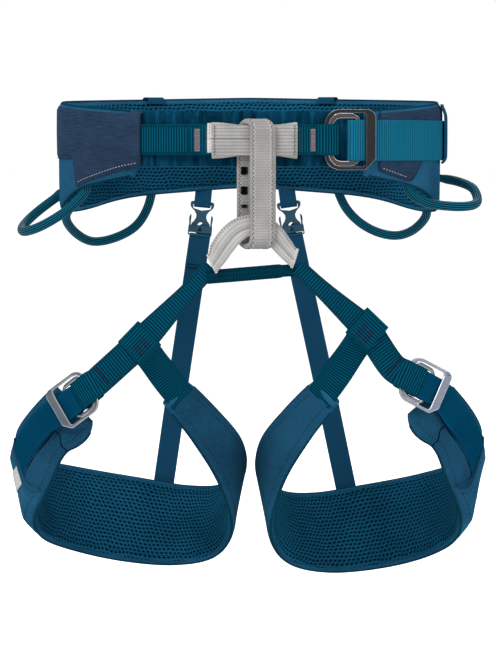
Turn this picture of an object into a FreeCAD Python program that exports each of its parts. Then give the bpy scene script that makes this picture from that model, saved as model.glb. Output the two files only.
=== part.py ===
"""Climbing harness with an adjustable waist belt and two adjustable leg loops.

Frame: +Z is up, the wearer faces -Y and the origin is the centre of the waist opening
at the height of the load webbing. The wearer's right side is at -X. Millimetres.
"""
import FreeCAD, Part
import math
import os
import Sketcher
from FreeCAD import Matrix, Placement, Vector

DIMENSIONS = {
    # waist belt: inner ellipse of the opening, then the layers from the body outwards
    "waist_half_width": 148.0,
    "waist_half_depth": 92.0,
    "belt_split_angle": 38.0,
    "layer_gap": 0.3,
    "mesh_thickness": 1.2,
    "waist_foam_thickness": 6.0,
    "front_pad_thickness": 5.5,
    "fabric_thickness": 1.2,
    # webbing
    "front_webbing_width": 25.0,
    "hip_webbing_width": 33.0,
    "webbing_thickness": 1.8,
    "doubled_webbing": 2.5,
    "leg_webbing_width": 24.0,
    "leg_tail_width": 21.0,
    "riser_width": 18.4,
    "riser_tab_width": 14.4,
    "riser_thickness": 1.6,
    # tie-in points and belay loop
    "belay_width": 22.0,
    "belay_thickness": 4.2,
    "belay_front_y": -116.0,
    "belay_rear_y": -105.5,
    "belay_skew": 10.5,
    "arch_thickness": 4.4,
    "arch_y": -113.0,
    # waist buckle: frame with a wide bar, ring nested inside it
    "waist_frame_length": 43.0,
    "waist_frame_height": 48.6,
    "waist_frame_rim": 2.7,
    "waist_wide_bar": 8.0,
    "waist_sewn_bar": 3.3,
    "waist_ring_length": 29.3,
    "waist_ring_band": 4.0,
    "waist_plate": 2.4,
    # leg buckles
    "leg_frame_length": 40.0,
    "leg_frame_height": 38.0,
    "leg_frame_rim": 2.6,
    "leg_wide_bar": 7.5,
    "leg_sewn_bar": 3.0,
    "leg_ring_length": 24.5,
    "leg_ring_band": 3.3,
    "leg_plate": 2.2,
    "nest_gap": 0.5,
    # side-release clips on the risers
    "clip_width": 21.0,
    "clip_housing_length": 18.0,
    "clip_thickness": 6.4,
    "clip_blade": 3.0,
    # leg loops: layers from the thigh outwards
    "leg_foam_thickness": 6.0,
    "leg_mirror_x": 1.3,
    # gear loops
    "gear_tube_radius": 3.75,
    "gear_bore_radius": 2.1,
    "gear_core_radius": 1.9,
}

document = FreeCAD.newDocument("ClimbingHarness")
sheet = document.addObject("Spreadsheet::Sheet", "Sizes")
for row, (alias, number) in enumerate(DIMENSIONS.items(), start=1):
    sheet.set(f"A{row}", alias.replace("_", " "))
    sheet.set(f"B{row}", str(number))
    sheet.setAlias(f"B{row}", alias)
document.recompute()

nodes = {}


def size(alias):
    """Plain number of one cell of the sheet."""
    return float(sheet.get(alias))


class Dim:
    """A length that knows the sheet expression it comes from."""

    def __init__(self, value, text):
        self.value = value
        self.text = text

    def __neg__(self):
        return Dim(-self.value, f"-({self.text})")

    def __add__(self, other):
        other = as_dim(other)
        return Dim(self.value + other.value, f"({self.text} + {other.text})")

    def __sub__(self, other):
        other = as_dim(other)
        return Dim(self.value - other.value, f"({self.text} - {other.text})")

    def __mul__(self, factor):
        return Dim(self.value * factor, f"({self.text} * {factor})")


def as_dim(value):
    return value if isinstance(value, Dim) else Dim(float(value), str(float(value)))


def dim(alias):
    return Dim(size(alias), "Sizes." + alias)


class Frame:
    """Local axes of a strap: along it, across it, and outward from the body."""

    def __init__(self, origin, along, outward):
        self.origin = Vector(*origin)
        self.along = Vector(*along).normalize()
        outward = Vector(*outward)
        self.outward = (outward - self.along * outward.dot(self.along)).normalize()
        self.across = self.outward.cross(self.along)

    def at(self, along, across, outward):
        return self.origin + self.along * along + self.across * across + self.outward * outward

    def placement(self):
        x, y, z, o = self.along, self.across, self.outward, self.origin
        return Placement(Matrix(x.x, y.x, z.x, o.x, x.y, y.y, z.y, o.y, x.z, y.z, z.z, o.z, 0, 0, 0, 1))


# ---------------------------------------------------------------- building helpers

def keep(name, feature):
    """Name a finished sub-part; its label is the name of its file."""
    feature.Label = name
    nodes[name] = feature
    return feature


def keep_shape(name, shape):
    """Store a free-form fabric shape that no parametric feature describes."""
    feature = document.addObject("Part::Feature", name)
    if shape.ShapeType == "Compound" and len(shape.Solids) == 1:
        shape = shape.Solids[0]
    feature.Shape = shape
    feature.Placement = Placement()
    return keep(name, feature)


def mirrored(shape):
    """The same shape on the wearer's other leg."""
    return shape.mirror(Vector(size("leg_mirror_x"), 0, 0), Vector(1, 0, 0))


def loft(sections, ruled=False):
    wires = [Part.makePolygon(corners + corners[:1]) for corners in sections]
    return Part.makeLoft(wires, True, ruled)


def interpolate(stops, position):
    """Height on a line through (position, height) stops."""
    for (start, low), (end, high) in zip(stops, stops[1:]):
        if position <= end:
            return low + (high - low) * (position - start) / (end - start)
    return stops[-1][1]


def smooth(values, position):
    """Smooth curve through equally spaced numbers or vectors; position counts them."""
    index = min(int(position), len(values) - 2)
    share = position - index
    here = values[index]
    ahead = values[index + 1]
    before = values[index - 1] if index else here * 2 - ahead
    beyond = values[index + 2] if index + 2 < len(values) else ahead * 2 - here
    slope = (ahead - before) * 0.5
    next_slope = (beyond - here) * 0.5
    square = share * share
    cube = square * share
    return (here * (2 * cube - 3 * square + 1) + slope * (cube - 2 * square + share)
            + ahead * (3 * square - 2 * cube) + next_slope * (cube - square))


def thick_line(points, thickness):
    """Closed outline of a strip seen edge-on, from its centre line in the plane."""
    left = []
    right = []
    for index, point in enumerate(points):
        before = points[max(index - 1, 0)]
        after = points[min(index + 1, len(points) - 1)]
        first = (point - before) if index else (after - point)
        second = (after - point) if index < len(points) - 1 else first
        normal = (first.normalize() + second.normalize()).normalize()
        normal = Vector(-normal.y, normal.x, 0)
        stretch = 1.0 / max(normal.dot(Vector(-first.y, first.x, 0)), 0.5)
        left.append(point + normal * (thickness / 2 * stretch))
        right.append(point - normal * (thickness / 2 * stretch))
    return left + right[::-1]


def strip(points, thickness, low, high):
    """Webbing whose centre line lies in the XY plane, extruded in Z from low to high."""
    outline = [Vector(p.x, p.y, low) for p in thick_line(points, thickness)]
    face = Part.Face(Part.makePolygon(outline + outline[:1]))
    return face.extrude(Vector(0, 0, high - low))


def arc_points(centre_x, centre_y, radius, start, end, count):
    """Points on an arc in the plane, angles in degrees from +X."""
    turns = [math.radians(start + (end - start) * i / count) for i in range(count + 1)]
    return [Vector(centre_x + radius * math.cos(a), centre_y + radius * math.sin(a), 0) for a in turns]


def sketch_polygon(body, role, corners, name):
    """A closed sketch whose corners are bound to the sheet."""
    sketch = body.newObject("Sketcher::SketchObject", name)
    plane = [f for f in body.Origin.OriginFeatures if f.Role == role][0]
    sketch.AttachmentSupport = [(plane, "")]
    sketch.MapMode = "FlatFace"
    corners = [(as_dim(x), as_dim(y)) for x, y in corners]
    points = [Vector(x.value, y.value, 0) for x, y in corners]
    count = len(points)
    for i in range(count):
        sketch.addGeometry(Part.LineSegment(points[i], points[(i + 1) % count]), False)
    for i in range(count):
        sketch.addConstraint(Sketcher.Constraint("Coincident", i, 2, (i + 1) % count, 1))
    for i, (x, y) in enumerate(corners):
        for kind, length, axis in (("DistanceX", x, -2), ("DistanceY", y, -1)):
            if abs(length.value) < 1e-9:
                sketch.addConstraint(Sketcher.Constraint("PointOnObject", i, 1, axis))
                continue
            index = sketch.addConstraint(Sketcher.Constraint(kind, -1, 1, i, 1, length.value))
            sketch.setExpression(f"Constraints[{index}]", length.text)
    return sketch


def rounded_window(left, right, side, left_radius, right_radius):
    """Corners of an opening whose rounded ends are short chords, counter-clockwise."""
    def quarter(x, radius, inward, turns):
        angles = [math.radians(turn) for turn in turns]
        return [(x + radius * inward * (1 - math.cos(a)), side - radius * (1 - math.sin(a))) for a in angles]

    upper = quarter(left, left_radius, 1, (0, 30, 60, 90)) + quarter(right, right_radius, -1, (90, 60, 30, 0))
    lower = [(x, -y) for x, y in upper[::-1]]
    return lower + upper


def pad(body, sketch, length, name):
    feature = body.newObject("PartDesign::Pad", name)
    feature.Profile = sketch
    feature.setExpression("Length", as_dim(length).text)
    feature.Midplane = True
    document.recompute()
    return feature


def pocket(body, sketch, name, length=None):
    """Cut through both ways, or symmetrically by a length."""
    feature = body.newObject("PartDesign::Pocket", name)
    feature.Profile = sketch
    feature.Midplane = True
    if length is None:
        feature.Type = "ThroughAll"
    else:
        feature.setExpression("Length", as_dim(length).text)
    document.recompute()
    return feature


def round_corners(body, base, radius, chosen, name, kind="PartDesign::Fillet"):
    """Fillet or chamfer the upright edges whose (x, y) the chosen test accepts."""
    edges = []
    for index, edge in enumerate(base.Shape.Edges, start=1):
        first = edge.Vertexes[0].Point
        last = edge.Vertexes[-1].Point
        upright = abs(first.x - last.x) < 1e-6 and abs(first.y - last.y) < 1e-6
        if upright and abs(first.z - last.z) > 1e-3 and chosen(first.x, first.y):
            edges.append(f"Edge{index}")
    feature = body.newObject(kind, name)
    feature.Base = (base, edges)
    if kind == "PartDesign::Fillet":
        feature.Radius = radius
    else:
        feature.Size = radius
    document.recompute()
    return feature


# ---------------------------------------------------------------- waist belt

BELT_TOP = ((0, 22.0), (35, 22.0), (90, 31.0), (180, 36.0))
BELT_BOTTOM = ((0, -22.7), (35, -27.5), (63, -38.5), (76, -51.0), (90, -59.0), (115, -60.0),
               (138, -48.0), (180, -40.0))


def belt_top(angle):
    return interpolate(BELT_TOP, abs(angle))


def belt_bottom(angle):
    return interpolate(BELT_BOTTOM, abs(angle))


def belt_point(angle, offset, height):
    """Point at an angle from the front, positive towards +X, outside the opening."""
    turn = math.radians(angle)
    x = (size("waist_half_width") + offset) * math.sin(turn)
    y = -(size("waist_half_depth") + offset) * math.cos(turn)
    return Vector(x, y, height)


def belt_band(angles, inner, outer, bottom, top):
    """Curved panel between two offsets; bottom and top are functions of the angle."""
    sections = []
    for angle in angles:
        around = angle - 360 if angle > 180 else angle
        low = bottom(around)
        high = top(around)
        sections.append([belt_point(angle, inner, low), belt_point(angle, outer, low),
                         belt_point(angle, outer, high), belt_point(angle, inner, high)])
    return loft(sections)


def spread(first, last, count):
    return [first + (last - first) * i / count for i in range(count + 1)]


gap = size("layer_gap")
fabric = size("fabric_thickness")
lining_outer = size("mesh_thickness")
foam_outer = lining_outer + gap + size("waist_foam_thickness")
rear_webbing_inner = foam_outer + gap
rear_webbing_outer = rear_webbing_inner + 2.0
shell_inner = rear_webbing_outer + gap
shell_outer = shell_inner + fabric
panel_outer = shell_outer + gap + fabric
split = size("belt_split_angle")
long_way = spread(split, 360 - split, 24)

keep_shape("waist_mesh_lining", belt_band(long_way, 0, lining_outer, belt_bottom, belt_top))
keep_shape("waist_foam_core", belt_band(long_way, lining_outer + gap, foam_outer, belt_bottom, belt_top))
keep_shape("waist_outer_shell", belt_band(long_way, shell_inner, shell_outer, belt_bottom, belt_top))
half_rear = size("hip_webbing_width") / 2
keep_shape("waist_webbing_rear", belt_band(
    spread(split + 10, 350 - split, 20), rear_webbing_inner, rear_webbing_outer,
    lambda angle: -half_rear, lambda angle: half_rear))
pad_front_edge = split - 0.6
keep_shape("waist_front_pad", belt_band(
    spread(-pad_front_edge, pad_front_edge, 8), 0, size("front_pad_thickness"), belt_bottom, belt_top))

PANEL_LOW_EDGE = -17.0      # rear half of a hip panel stops above the lower side fabric
PANEL_STEP_ANGLE = 63.0


def panel_bottom(angle):
    if abs(angle) <= PANEL_STEP_ANGLE:
        return belt_bottom(angle) + 1.2
    return PANEL_LOW_EDGE


def hip_panel(front_angle):
    """Stretch panel over the hip, with a step in its lower edge."""
    step = PANEL_STEP_ANGLE
    front = belt_band(spread(front_angle, step, 4), shell_outer + gap, panel_outer, panel_bottom,
                      lambda angle: belt_top(angle) - 0.5)
    rear = belt_band(spread(step, 118, 7), shell_outer + gap, panel_outer, lambda angle: PANEL_LOW_EDGE,
                     lambda angle: belt_top(angle) - 0.5)
    return front.fuse(rear).removeSplitter()


keep_shape("right_hip_panel", hip_panel(33.8).mirror(Vector(), Vector(1, 0, 0)))
keep_shape("left_hip_panel", hip_panel(41.5))

TOOL_SLOT_ANGLES = {"right_tool_slot": -147.5, "left_tool_slot": 154.0}
for slot_name, slot_angle in TOOL_SLOT_ANGLES.items():
    across = spread(slot_angle - 2.8, slot_angle + 2.8, 3)
    outer_strip = belt_band(across, shell_outer + gap, panel_outer,
                            lambda angle: belt_bottom(angle) + 2, lambda angle: belt_top(angle) + 1.5)
    fold_over = belt_band(across, 2, panel_outer,
                          lambda angle: belt_top(angle) + 0.4, lambda angle: belt_top(angle) + 1.5)
    keep_shape(slot_name, outer_strip.fuse(fold_over).removeSplitter())

# ---------------------------------------------------------------- waist buckle and its webbing

WAIST_BUCKLE_ANGLE = 30.6
front_pad_face = size("front_pad_thickness")
waist_buckle = Frame(
    belt_point(WAIST_BUCKLE_ANGLE, front_pad_face, 0),
    (math.cos(math.radians(WAIST_BUCKLE_ANGLE)) * size("waist_half_width"),
     math.sin(math.radians(WAIST_BUCKLE_ANGLE)) * size("waist_half_depth"), 0),
    belt_point(WAIST_BUCKLE_ANGLE, 1000, 0) - belt_point(WAIST_BUCKLE_ANGLE, 0, 0))

FRAME_TILT = 6.0            # the wide bar rides up on the free webbing, degrees
FAR_BAR = 1.35              # width of the ring's far bar, against its other sides
FAR_CORNER = 0.3            # radius of its inner corners, small enough to pass the webbing


def buckle_levels(plate, webbing):
    """Heights above the pad of the stacked parts of a double-back buckle."""
    ring_low = 0.4 + webbing + 0.5
    ring_high = ring_low + plate
    over_ring = ring_high + 0.3 + webbing
    return ring_low, ring_high, over_ring


def buckle_frame(name, prefix, strap_frame, lift, chamfer_side):
    """Flat outer frame; its wide bar clamps the free webbing, its thin bar is sewn in."""
    length = dim(prefix + "_frame_length")
    half = length * 0.5
    side = dim(prefix + "_frame_height") * 0.5
    rim = dim(prefix + "_frame_rim")
    body = document.addObject("PartDesign::Body", name)
    outline = sketch_polygon(body, "XY_Plane",
                             [(-half, -side), (half, -side), (half, side), (-half, side)], name + "_outline")
    plate = pad(body, outline, dim(prefix + "_plate"), name + "_plate")
    round_end = side.value * 0.55
    rounded = round_corners(body, plate, round_end, lambda x, y: x < 0, name + "_round_end")
    wide_end = round_corners(body, rounded, side.value * 0.3,
                             lambda x, y: x > 0.9 * half.value and y * chamfer_side < 0, name + "_end")
    round_corners(body, wide_end, side.value * 0.36,
                  lambda x, y: x > 0.9 * half.value and y * chamfer_side > 0, name + "_chamfer",
                  "PartDesign::Chamfer")
    sewn = dim(prefix + "_sewn_bar")
    wide = dim(prefix + "_wide_bar")
    window = rounded_window(sewn - half, half - wide, side - rim, side * 0.55 - rim, side * 0.12)
    pocket(body, sketch_polygon(body, "XY_Plane", window, name + "_window"), name + "_opening")
    pivot = strap_frame.at(sewn.value / 2 - half.value, 0, lift)
    tilted = Frame(pivot, strap_frame.along * math.cos(math.radians(FRAME_TILT))
                   + strap_frame.outward * math.sin(math.radians(FRAME_TILT)), strap_frame.outward)
    to_centre = Placement(Vector(half.value - sewn.value / 2, 0, 0), FreeCAD.Rotation())
    body.Placement = tilted.placement() * to_centre
    return keep(name, body)


def buckle_ring(name, prefix, strap_frame, ring_low):
    """Rounded ring nested in the frame; the free webbing turns round its far bar."""
    outer_side = dim(prefix + "_frame_height") * 0.5 - dim(prefix + "_frame_rim") - dim("nest_gap")
    length = dim(prefix + "_ring_length")
    band = dim(prefix + "_ring_band")
    body = document.addObject("PartDesign::Body", name)
    half = length * 0.5
    outline = sketch_polygon(body, "XY_Plane", [(-half, -outer_side), (half, -outer_side),
                                                (half, outer_side), (-half, outer_side)], name + "_outline")
    plate = pad(body, outline, dim(prefix + "_plate"), name + "_plate")
    corner = outer_side.value * 0.5
    round_corners(body, plate, corner, lambda x, y: True, name + "_corners")
    inner_round = outer_side * 0.5 - band
    window = rounded_window(band - half, half - band * FAR_BAR, outer_side - band, inner_round,
                            band * FAR_CORNER)
    pocket(body, sketch_polygon(body, "XY_Plane", window, name + "_window"), name + "_opening")
    frame_half = size(prefix + "_frame_length") / 2
    centre = -frame_half + size(prefix + "_sewn_bar") + size("nest_gap") + half.value
    local = Frame(strap_frame.at(centre, 0, ring_low + size(prefix + "_plate") / 2),
                  strap_frame.along, strap_frame.outward)
    body.Placement = local.placement()
    return keep(name, body)


def ring_far_bar(prefix):
    """Inner and outer edge of the ring's far bar, along the strap from the frame's centre."""
    start = -size(prefix + "_frame_length") / 2 + size(prefix + "_sewn_bar") + size("nest_gap")
    outer = start + size(prefix + "_ring_length")
    return outer - size(prefix + "_ring_band") * FAR_BAR, outer


def frame_pivot_height(prefix, over_ring):
    """Height of the sewn bar's axis that lets the tilted wide bar rest on the webbing."""
    half = size(prefix + "_frame_length") / 2
    inner_edge = half - size(prefix + "_wide_bar")
    reach = inner_edge + half - size(prefix + "_sewn_bar") / 2
    return over_ring + 0.35 + size(prefix + "_plate") / 2 - reach * math.sin(math.radians(FRAME_TILT)) + 0.1


def fold_route(prefix, lift, sewn_start, webbing):
    """Sewn webbing: out over both near bars, round, and back under them."""
    half = size(prefix + "_frame_length") / 2
    clear = math.hypot(size(prefix + "_sewn_bar") / 2, size(prefix + "_plate") / 2)
    high = lift + clear + 0.35 + webbing / 2
    low = 0.4 + webbing / 2
    ring_start = -half + size(prefix + "_sewn_bar") + size("nest_gap")
    nose = ring_start + size(prefix + "_ring_band") + 0.6
    nose_high = high - 0.6
    radius = (nose_high - low) / 2
    over = [Vector(sewn_start, (high + low) / 2, 0), Vector(-half - 2.5, high - 0.4, 0),
            Vector(-half + 1.0, high, 0), Vector(-half + 5.0, high - 0.1, 0)]
    turn = arc_points(nose, low + radius, radius, 90, -90, 8)
    back = [Vector(-half - 1.5, low, 0), Vector(sewn_start, (high + low) / 2 - webbing * 0.8, 0)]
    return over + turn + back


def tail_route(prefix, ring_low, ring_high, webbing):
    """Free webbing: in under the ring's far bar, round its inner edge and back over it."""
    bar_inner, bar_outer = ring_far_bar(prefix)
    low = 0.4 + webbing / 2
    high = ring_high + 0.3 + webbing / 2
    radius = (high - low) / 2
    turn = arc_points(bar_inner - 0.6 - webbing / 2 + radius, low + radius, radius, -90, -270, 8)
    return turn, Vector(bar_outer + 1.0, high, 0)


def to_plan(strap_frame, points):
    """Local (along, outward) points to the world's XY plane."""
    return [strap_frame.at(p.x, 0, p.y) for p in points]


waist_thickness = size("webbing_thickness")
ring_low, ring_high, over_ring = buckle_levels(size("waist_plate"), waist_thickness)
waist_lift = frame_pivot_height("waist", over_ring)
buckle_frame("waist_buckle_frame", "waist", waist_buckle, waist_lift, -1)
buckle_ring("waist_buckle_ring", "waist", waist_buckle, ring_low)

turn, over_end = tail_route("waist", ring_low, ring_high, waist_thickness)
half_frame = size("waist_frame_length") / 2
TAIL_END_ANGLE = 112.0
TAIL_OFFSET = panel_outer + gap + waist_thickness / 2
load_offset = rear_webbing_inner + 0.1 + waist_thickness / 2
load_start = [belt_point(angle, load_offset, 0) for angle in (47.5, 43, 39.5, 37.4)]
tail_plan = load_start + to_plan(waist_buckle, [Vector(12.6, 0.4 + waist_thickness / 2 + 0.1, 0)] + turn)
tail_plan += to_plan(waist_buckle, [over_end, Vector(half_frame - 3, over_end.y + 0.1, 0)])
tail_plan += [belt_point(angle, TAIL_OFFSET, 0) for angle in spread(42.5, TAIL_END_ANGLE, 14)]
tail_plan = [Vector(p.x, p.y, 0) for p in tail_plan]
keep_shape("waist_webbing_tail", strip(tail_plan, waist_thickness, -half_rear - 0.5, half_rear - 0.5))

# front webbing: sewn fold at the buckle, then a bow forward through the upper tie-in sleeve
FRONT_BOW = ((-45, 8.8, 12.4), (-41.7, 8.8, 12.4), (-38.5, 8.8, 12.4), (-33, 9.4, 12.4), (-27, 11.3, 12.4),
             (-22, 13.4, 12.4), (-17, 15.5, 12.4), (-12, 17.4, 12.4), (-7.5, 18.3, 11.8), (-3, 18.7, 10.1),
             (2, 18.7, 10.1), (8, 18.4, 10.1), (13, 16.0, 12.2), (17.5, 11.8, 12.4), (20.2, 10.6, 12.4))
doubled = size("doubled_webbing")


def bow_section(angle, offset, half_height, grow=0.0):
    inner = offset - doubled / 2 - grow
    outer = offset + doubled / 2 + grow
    tall = half_height + grow
    return [belt_point(angle, inner, -tall), belt_point(angle, outer, -tall),
            belt_point(angle, outer, tall), belt_point(angle, inner, tall)]


def bow_at(angle):
    """Offset and half height of the front webbing at an angle."""
    offset = interpolate([(a, o) for a, o, h in FRONT_BOW], angle)
    return offset, interpolate([(a, h) for a, o, h in FRONT_BOW], angle)


bow = loft([bow_section(*stop) for stop in FRONT_BOW], ruled=True)
fold = fold_route("waist", waist_lift, -half_frame - 6.5, waist_thickness)
half_front = size("front_webbing_width") / 2
fold_plan = [Vector(p.x, p.y, 0) for p in to_plan(waist_buckle, fold)]
fold_strip = strip(fold_plan, waist_thickness, -half_front, half_front)
keep_shape("waist_webbing_front", bow.fuse(fold_strip).removeSplitter())

SLEEVE_GAP = 0.3
SLEEVE_WALL = 1.2
SLEEVE_ANGLES = (-11.5, -7.5, -3, 2, 8, 13)


def sleeve_loft(grow, extra):
    """Ruled like the webbing inside it, so that the gap between them is even."""
    angles = list(SLEEVE_ANGLES)
    angles[0] -= extra
    angles[-1] += extra
    return loft([bow_section(angle, *bow_at(angle), grow) for angle in angles], ruled=True)


keep_shape("upper_tie_in_sleeve", sleeve_loft(SLEEVE_GAP + SLEEVE_WALL, 0).cut(sleeve_loft(SLEEVE_GAP, 0.6)))

# bar tacks standing on the front webbing
TACK_HEIGHT = 0.7


def front_tack(angle, width_angle, half_height):
    offset, _ = bow_at(angle)
    face = offset + doubled / 2 + 0.3
    return belt_band(spread(angle - width_angle, angle + width_angle, 2), face, face + TACK_HEIGHT,
                     lambda a: -half_height, lambda a: half_height)


keep_shape("waist_bar_tacks", Part.makeCompound([front_tack(-14.6, 0.6, 9.5), front_tack(18.4, 0.5, 9.5)]))

# elastic keeper round the belt and the free end of the webbing
KEEPER_ANGLES = spread(80, 86, 3)
keeper_inner = TAIL_OFFSET + waist_thickness / 2 + 0.3
keeper_face = belt_band(KEEPER_ANGLES, keeper_inner, keeper_inner + 1.0, lambda a: -22.0, lambda a: 27.0)
keeper_top = belt_band(KEEPER_ANGLES, panel_outer + 0.2, keeper_inner + 1.0, lambda a: 17.0, lambda a: 27.0)
keeper_base = belt_band(KEEPER_ANGLES, panel_outer + 0.2, keeper_inner + 1.0,
                        lambda a: -22.0, lambda a: -18.4)
keep_shape("waist_keeper", keeper_face.fuse([keeper_top, keeper_base]).removeSplitter())

# ---------------------------------------------------------------- tie-in points and belay loop

half_belay = size("belay_width") / 2
belay_thick = size("belay_thickness")
belay_front = size("belay_front_y") - belay_thick / 2
belay_back = size("belay_rear_y") + belay_thick / 2
belay_axis_y = (belay_front + belay_back) / 2
belay_radius = (belay_back - belay_front) / 2
BELAY_TOP_CENTRE = 7.8
BELAY_BASE_CENTRE = -77.6


def belay_station(y, z, normal_y, normal_z):
    """Cross-section of the loop; the front strand sits to one side of the rear one."""
    share = (belay_back - y) / (belay_back - belay_front)
    x = size("belay_skew") * share
    reach = belay_thick / 2
    return [Vector(x + side * half_belay, y + level * reach * normal_y, z + level * reach * normal_z)
            for side, level in ((-1, -1), (-1, 1), (1, 1), (1, -1))]


def belay_half(angles, centre_z, end_z):
    """Half of the loop: one round end and the two strands up to a height."""
    turned = [belay_station(belay_axis_y + belay_radius * math.cos(math.radians(a)),
                            centre_z + belay_radius * math.sin(math.radians(a)),
                            math.cos(math.radians(a)), math.sin(math.radians(a))) for a in angles]
    first = math.cos(math.radians(angles[0]))
    rear = belay_station(belay_axis_y + belay_radius * first, end_z, first, 0)
    front = belay_station(belay_axis_y - belay_radius * first, end_z, -first, 0)
    return loft([rear] + turned + [front], ruled=True)


BELAY_MIDDLE = -36.0
upper_half = belay_half(spread(0, 180, 10), BELAY_TOP_CENTRE, BELAY_MIDDLE)
lower_half = belay_half(spread(0, -180, 10), BELAY_BASE_CENTRE, BELAY_MIDDLE)
keep_shape("belay_loop", upper_half.fuse(lower_half).removeSplitter())

ARCH_OUTER = ((-33.2, -87.5), (-29.5, -83.5), (-20.8, -71.4), (-10.1, -62.6), (3.0, -59.3), (14.0, -61.2),
              (21.5, -65.6), (28.6, -72.5), (38.2, -85.0))
ARCH_INNER = ((33.8, -103.5), (30.6, -99.0), (22.8, -82.6), (17.0, -77.0), (10.0, -76.2), (-3.0, -76.2),
              (-9.0, -76.8), (-12.3, -82.0), (-21.5, -103.0), (-24.4, -108.2))
arch_thick = size("arch_thickness")
arch_outline = [Vector(x, size("arch_y") - arch_thick / 2, z) for x, z in ARCH_OUTER + ARCH_INNER]
arch_face = Part.Face(Part.makePolygon(arch_outline + arch_outline[:1]))
keep_shape("lower_tie_in_arch", arch_face.extrude(Vector(0, arch_thick, 0)))

BRIDGE = ((-34.0, -115.5), (-24.0, -112.8), (34.0, -108.4), (36.4, -109.5), (36.4, -98.0), (34.0, -100.2),
          (-24.0, -104.4), (-34.0, -102.0))
bridge_front = size("arch_y") + arch_thick / 2 + gap
bridge_outline = [Vector(x, bridge_front, z) for x, z in BRIDGE]
bridge_face = Part.Face(Part.makePolygon(bridge_outline + bridge_outline[:1]))
keep_shape("crossbridge_strap", bridge_face.extrude(Vector(0, 3.0, 0)))

# ---------------------------------------------------------------- leg loops

LEG_CENTRE = Vector(-102.0, 0.0, 0.0)
# inner surface of the padded band on the wearer's right: centre line, half width, and how far
# the upper edge leans away from the thigh, in degrees
LEG_STATIONS = (
    ((-142.0, -74.0, -213.0), 20.0, 2.0),
    ((-158.0, -60.5, -238.0), 26.0, 7.0),
    ((-174.0, -37.5, -264.0), 30.0, 11.0),
    ((-182.0, -5.0, -288.0), 33.0, 12.0),
    ((-174.5, 36.0, -306.0), 36.0, 18.0),
    ((-147.0, 68.0, -319.0), 38.0, 23.0),
    ((-106.0, 80.0, -329.0), 38.5, 27.0),
    ((-64.0, 71.0, -333.5), 35.5, 24.0),
    ((-33.0, 44.0, -326.0), 32.0, 17.0),
    ((-16.5, 7.0, -301.0), 30.0, 12.0),
    ((-21.5, -24.0, -268.0), 24.0, 10.0),
    ((-41.0, -47.0, -235.0), 17.5, 6.0),
    ((-63.5, -68.5, -205.0), 13.7, 0.0),
)
# the left loop is the mirror image, its pad hanging a little differently: (outward x, height)
LEFT_SHIFTS = ((1, 5), (2, 4), (4, 3), (6, 0), (5, -3), (3, -6), (0, -6.5), (0, -6.5), (0, -5), (0, -3),
               (0, 0), (0, 1), (0, 1))

STATION_STEPS = 4           # sections from one station to the next


class Leg:
    """One leg loop, laid out as if on the wearer's right and mirrored when it is the left."""

    def __init__(self, side, stations, strap_top, junction, buckle):
        self.side = side
        self.places = [Vector(*place) for place, _, _ in stations]
        self.widths = [width for _, width, _ in stations]
        self.leans = [lean for _, _, lean in stations]
        self.strap_top = Vector(*strap_top)
        self.junction = Vector(*junction)
        self.buckle = buckle
        self.last = len(stations) - 1

    def frame(self, position):
        """Axes of the padded band: along it, across it, outward; position counts stations."""
        place = smooth(self.places, position)
        before = smooth(self.places, max(position - 0.1, 0))
        after = smooth(self.places, min(position + 0.1, self.last))
        out = place - LEG_CENTRE
        out.z = 0
        level = Frame(place, after - before, out)
        lean = math.radians(smooth(self.leans, position))
        tilted = level.outward * math.cos(lean) + level.across * math.sin(lean)
        return Frame(place, level.along, tilted)

    def half_width(self, position):
        return smooth(self.widths, position)

    def keep(self, name, shape):
        keep_shape(f"{self.side}_{name}", shape if self.side == "right" else mirrored(shape))

    def band(self, start, end, low, high, margin=0.0):
        """Padded band between two positions and two heights above its inner surface."""
        sections = []
        for position in spread(start, end, round((end - start) * STATION_STEPS)):
            reach = self.half_width(position) - margin
            sections.append(band_corners(self.frame(position), low, high, reach, reach))
        return loft(sections)


def band_corners(frame, low, high, below, above):
    """Section from low to high outward; below and above are measured across the band."""
    return [frame.at(0, below, low), frame.at(0, below, high),
            frame.at(0, -above, high), frame.at(0, -above, low)]


def strap_section(frame, thickness, half_width):
    reach = thickness / 2
    return band_corners(frame, -reach, reach, half_width, half_width)


def flipped(frame):
    """The same strap axes on the left leg."""
    origin = Vector(2 * size("leg_mirror_x") - frame.origin.x, frame.origin.y, frame.origin.z)
    along = Vector(-frame.along.x, frame.along.y, frame.along.z)
    outward = Vector(-frame.outward.x, frame.outward.y, frame.outward.z)
    return Frame(origin, along, outward)


def local_strip(frame, points, thickness, half_width):
    """Strip in the (along, outward) plane of a strap frame."""
    flat = strip(points, thickness, -half_width, half_width)
    upright = Matrix(1, 0, 0, 0, 0, 0, -1, 0, 0, 1, 0, 0, 0, 0, 0, 1)
    return flat.transformed(frame.placement().toMatrix() * upright, True)


leg_lining = size("mesh_thickness")
leg_foam = leg_lining + gap + size("leg_foam_thickness")
leg_shell_low = leg_foam + gap
leg_shell_high = leg_shell_low + fabric
leg_thick = 1.6
half_strap = size("leg_webbing_width") / 2
leg_ring_low, leg_ring_high, leg_over = buckle_levels(size("leg_plate"), leg_thick)
leg_lift = frame_pivot_height("leg", leg_over)
half_leg_frame = size("leg_frame_length") / 2
SLEEVE_HALF_LENGTH = 11.7   # of the webbing sleeve round the main strap
bore_half = doubled / 2 + 0.35


def leg_pads(leg):
    leg.keep("leg_mesh_lining", leg.band(0, leg.last, 0, leg_lining))
    leg.keep("leg_foam_core", leg.band(0, leg.last, leg_lining + gap, leg_foam))
    leg.keep("leg_outer_shell", leg.band(0, leg.last, leg_shell_low, leg_shell_high))


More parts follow.
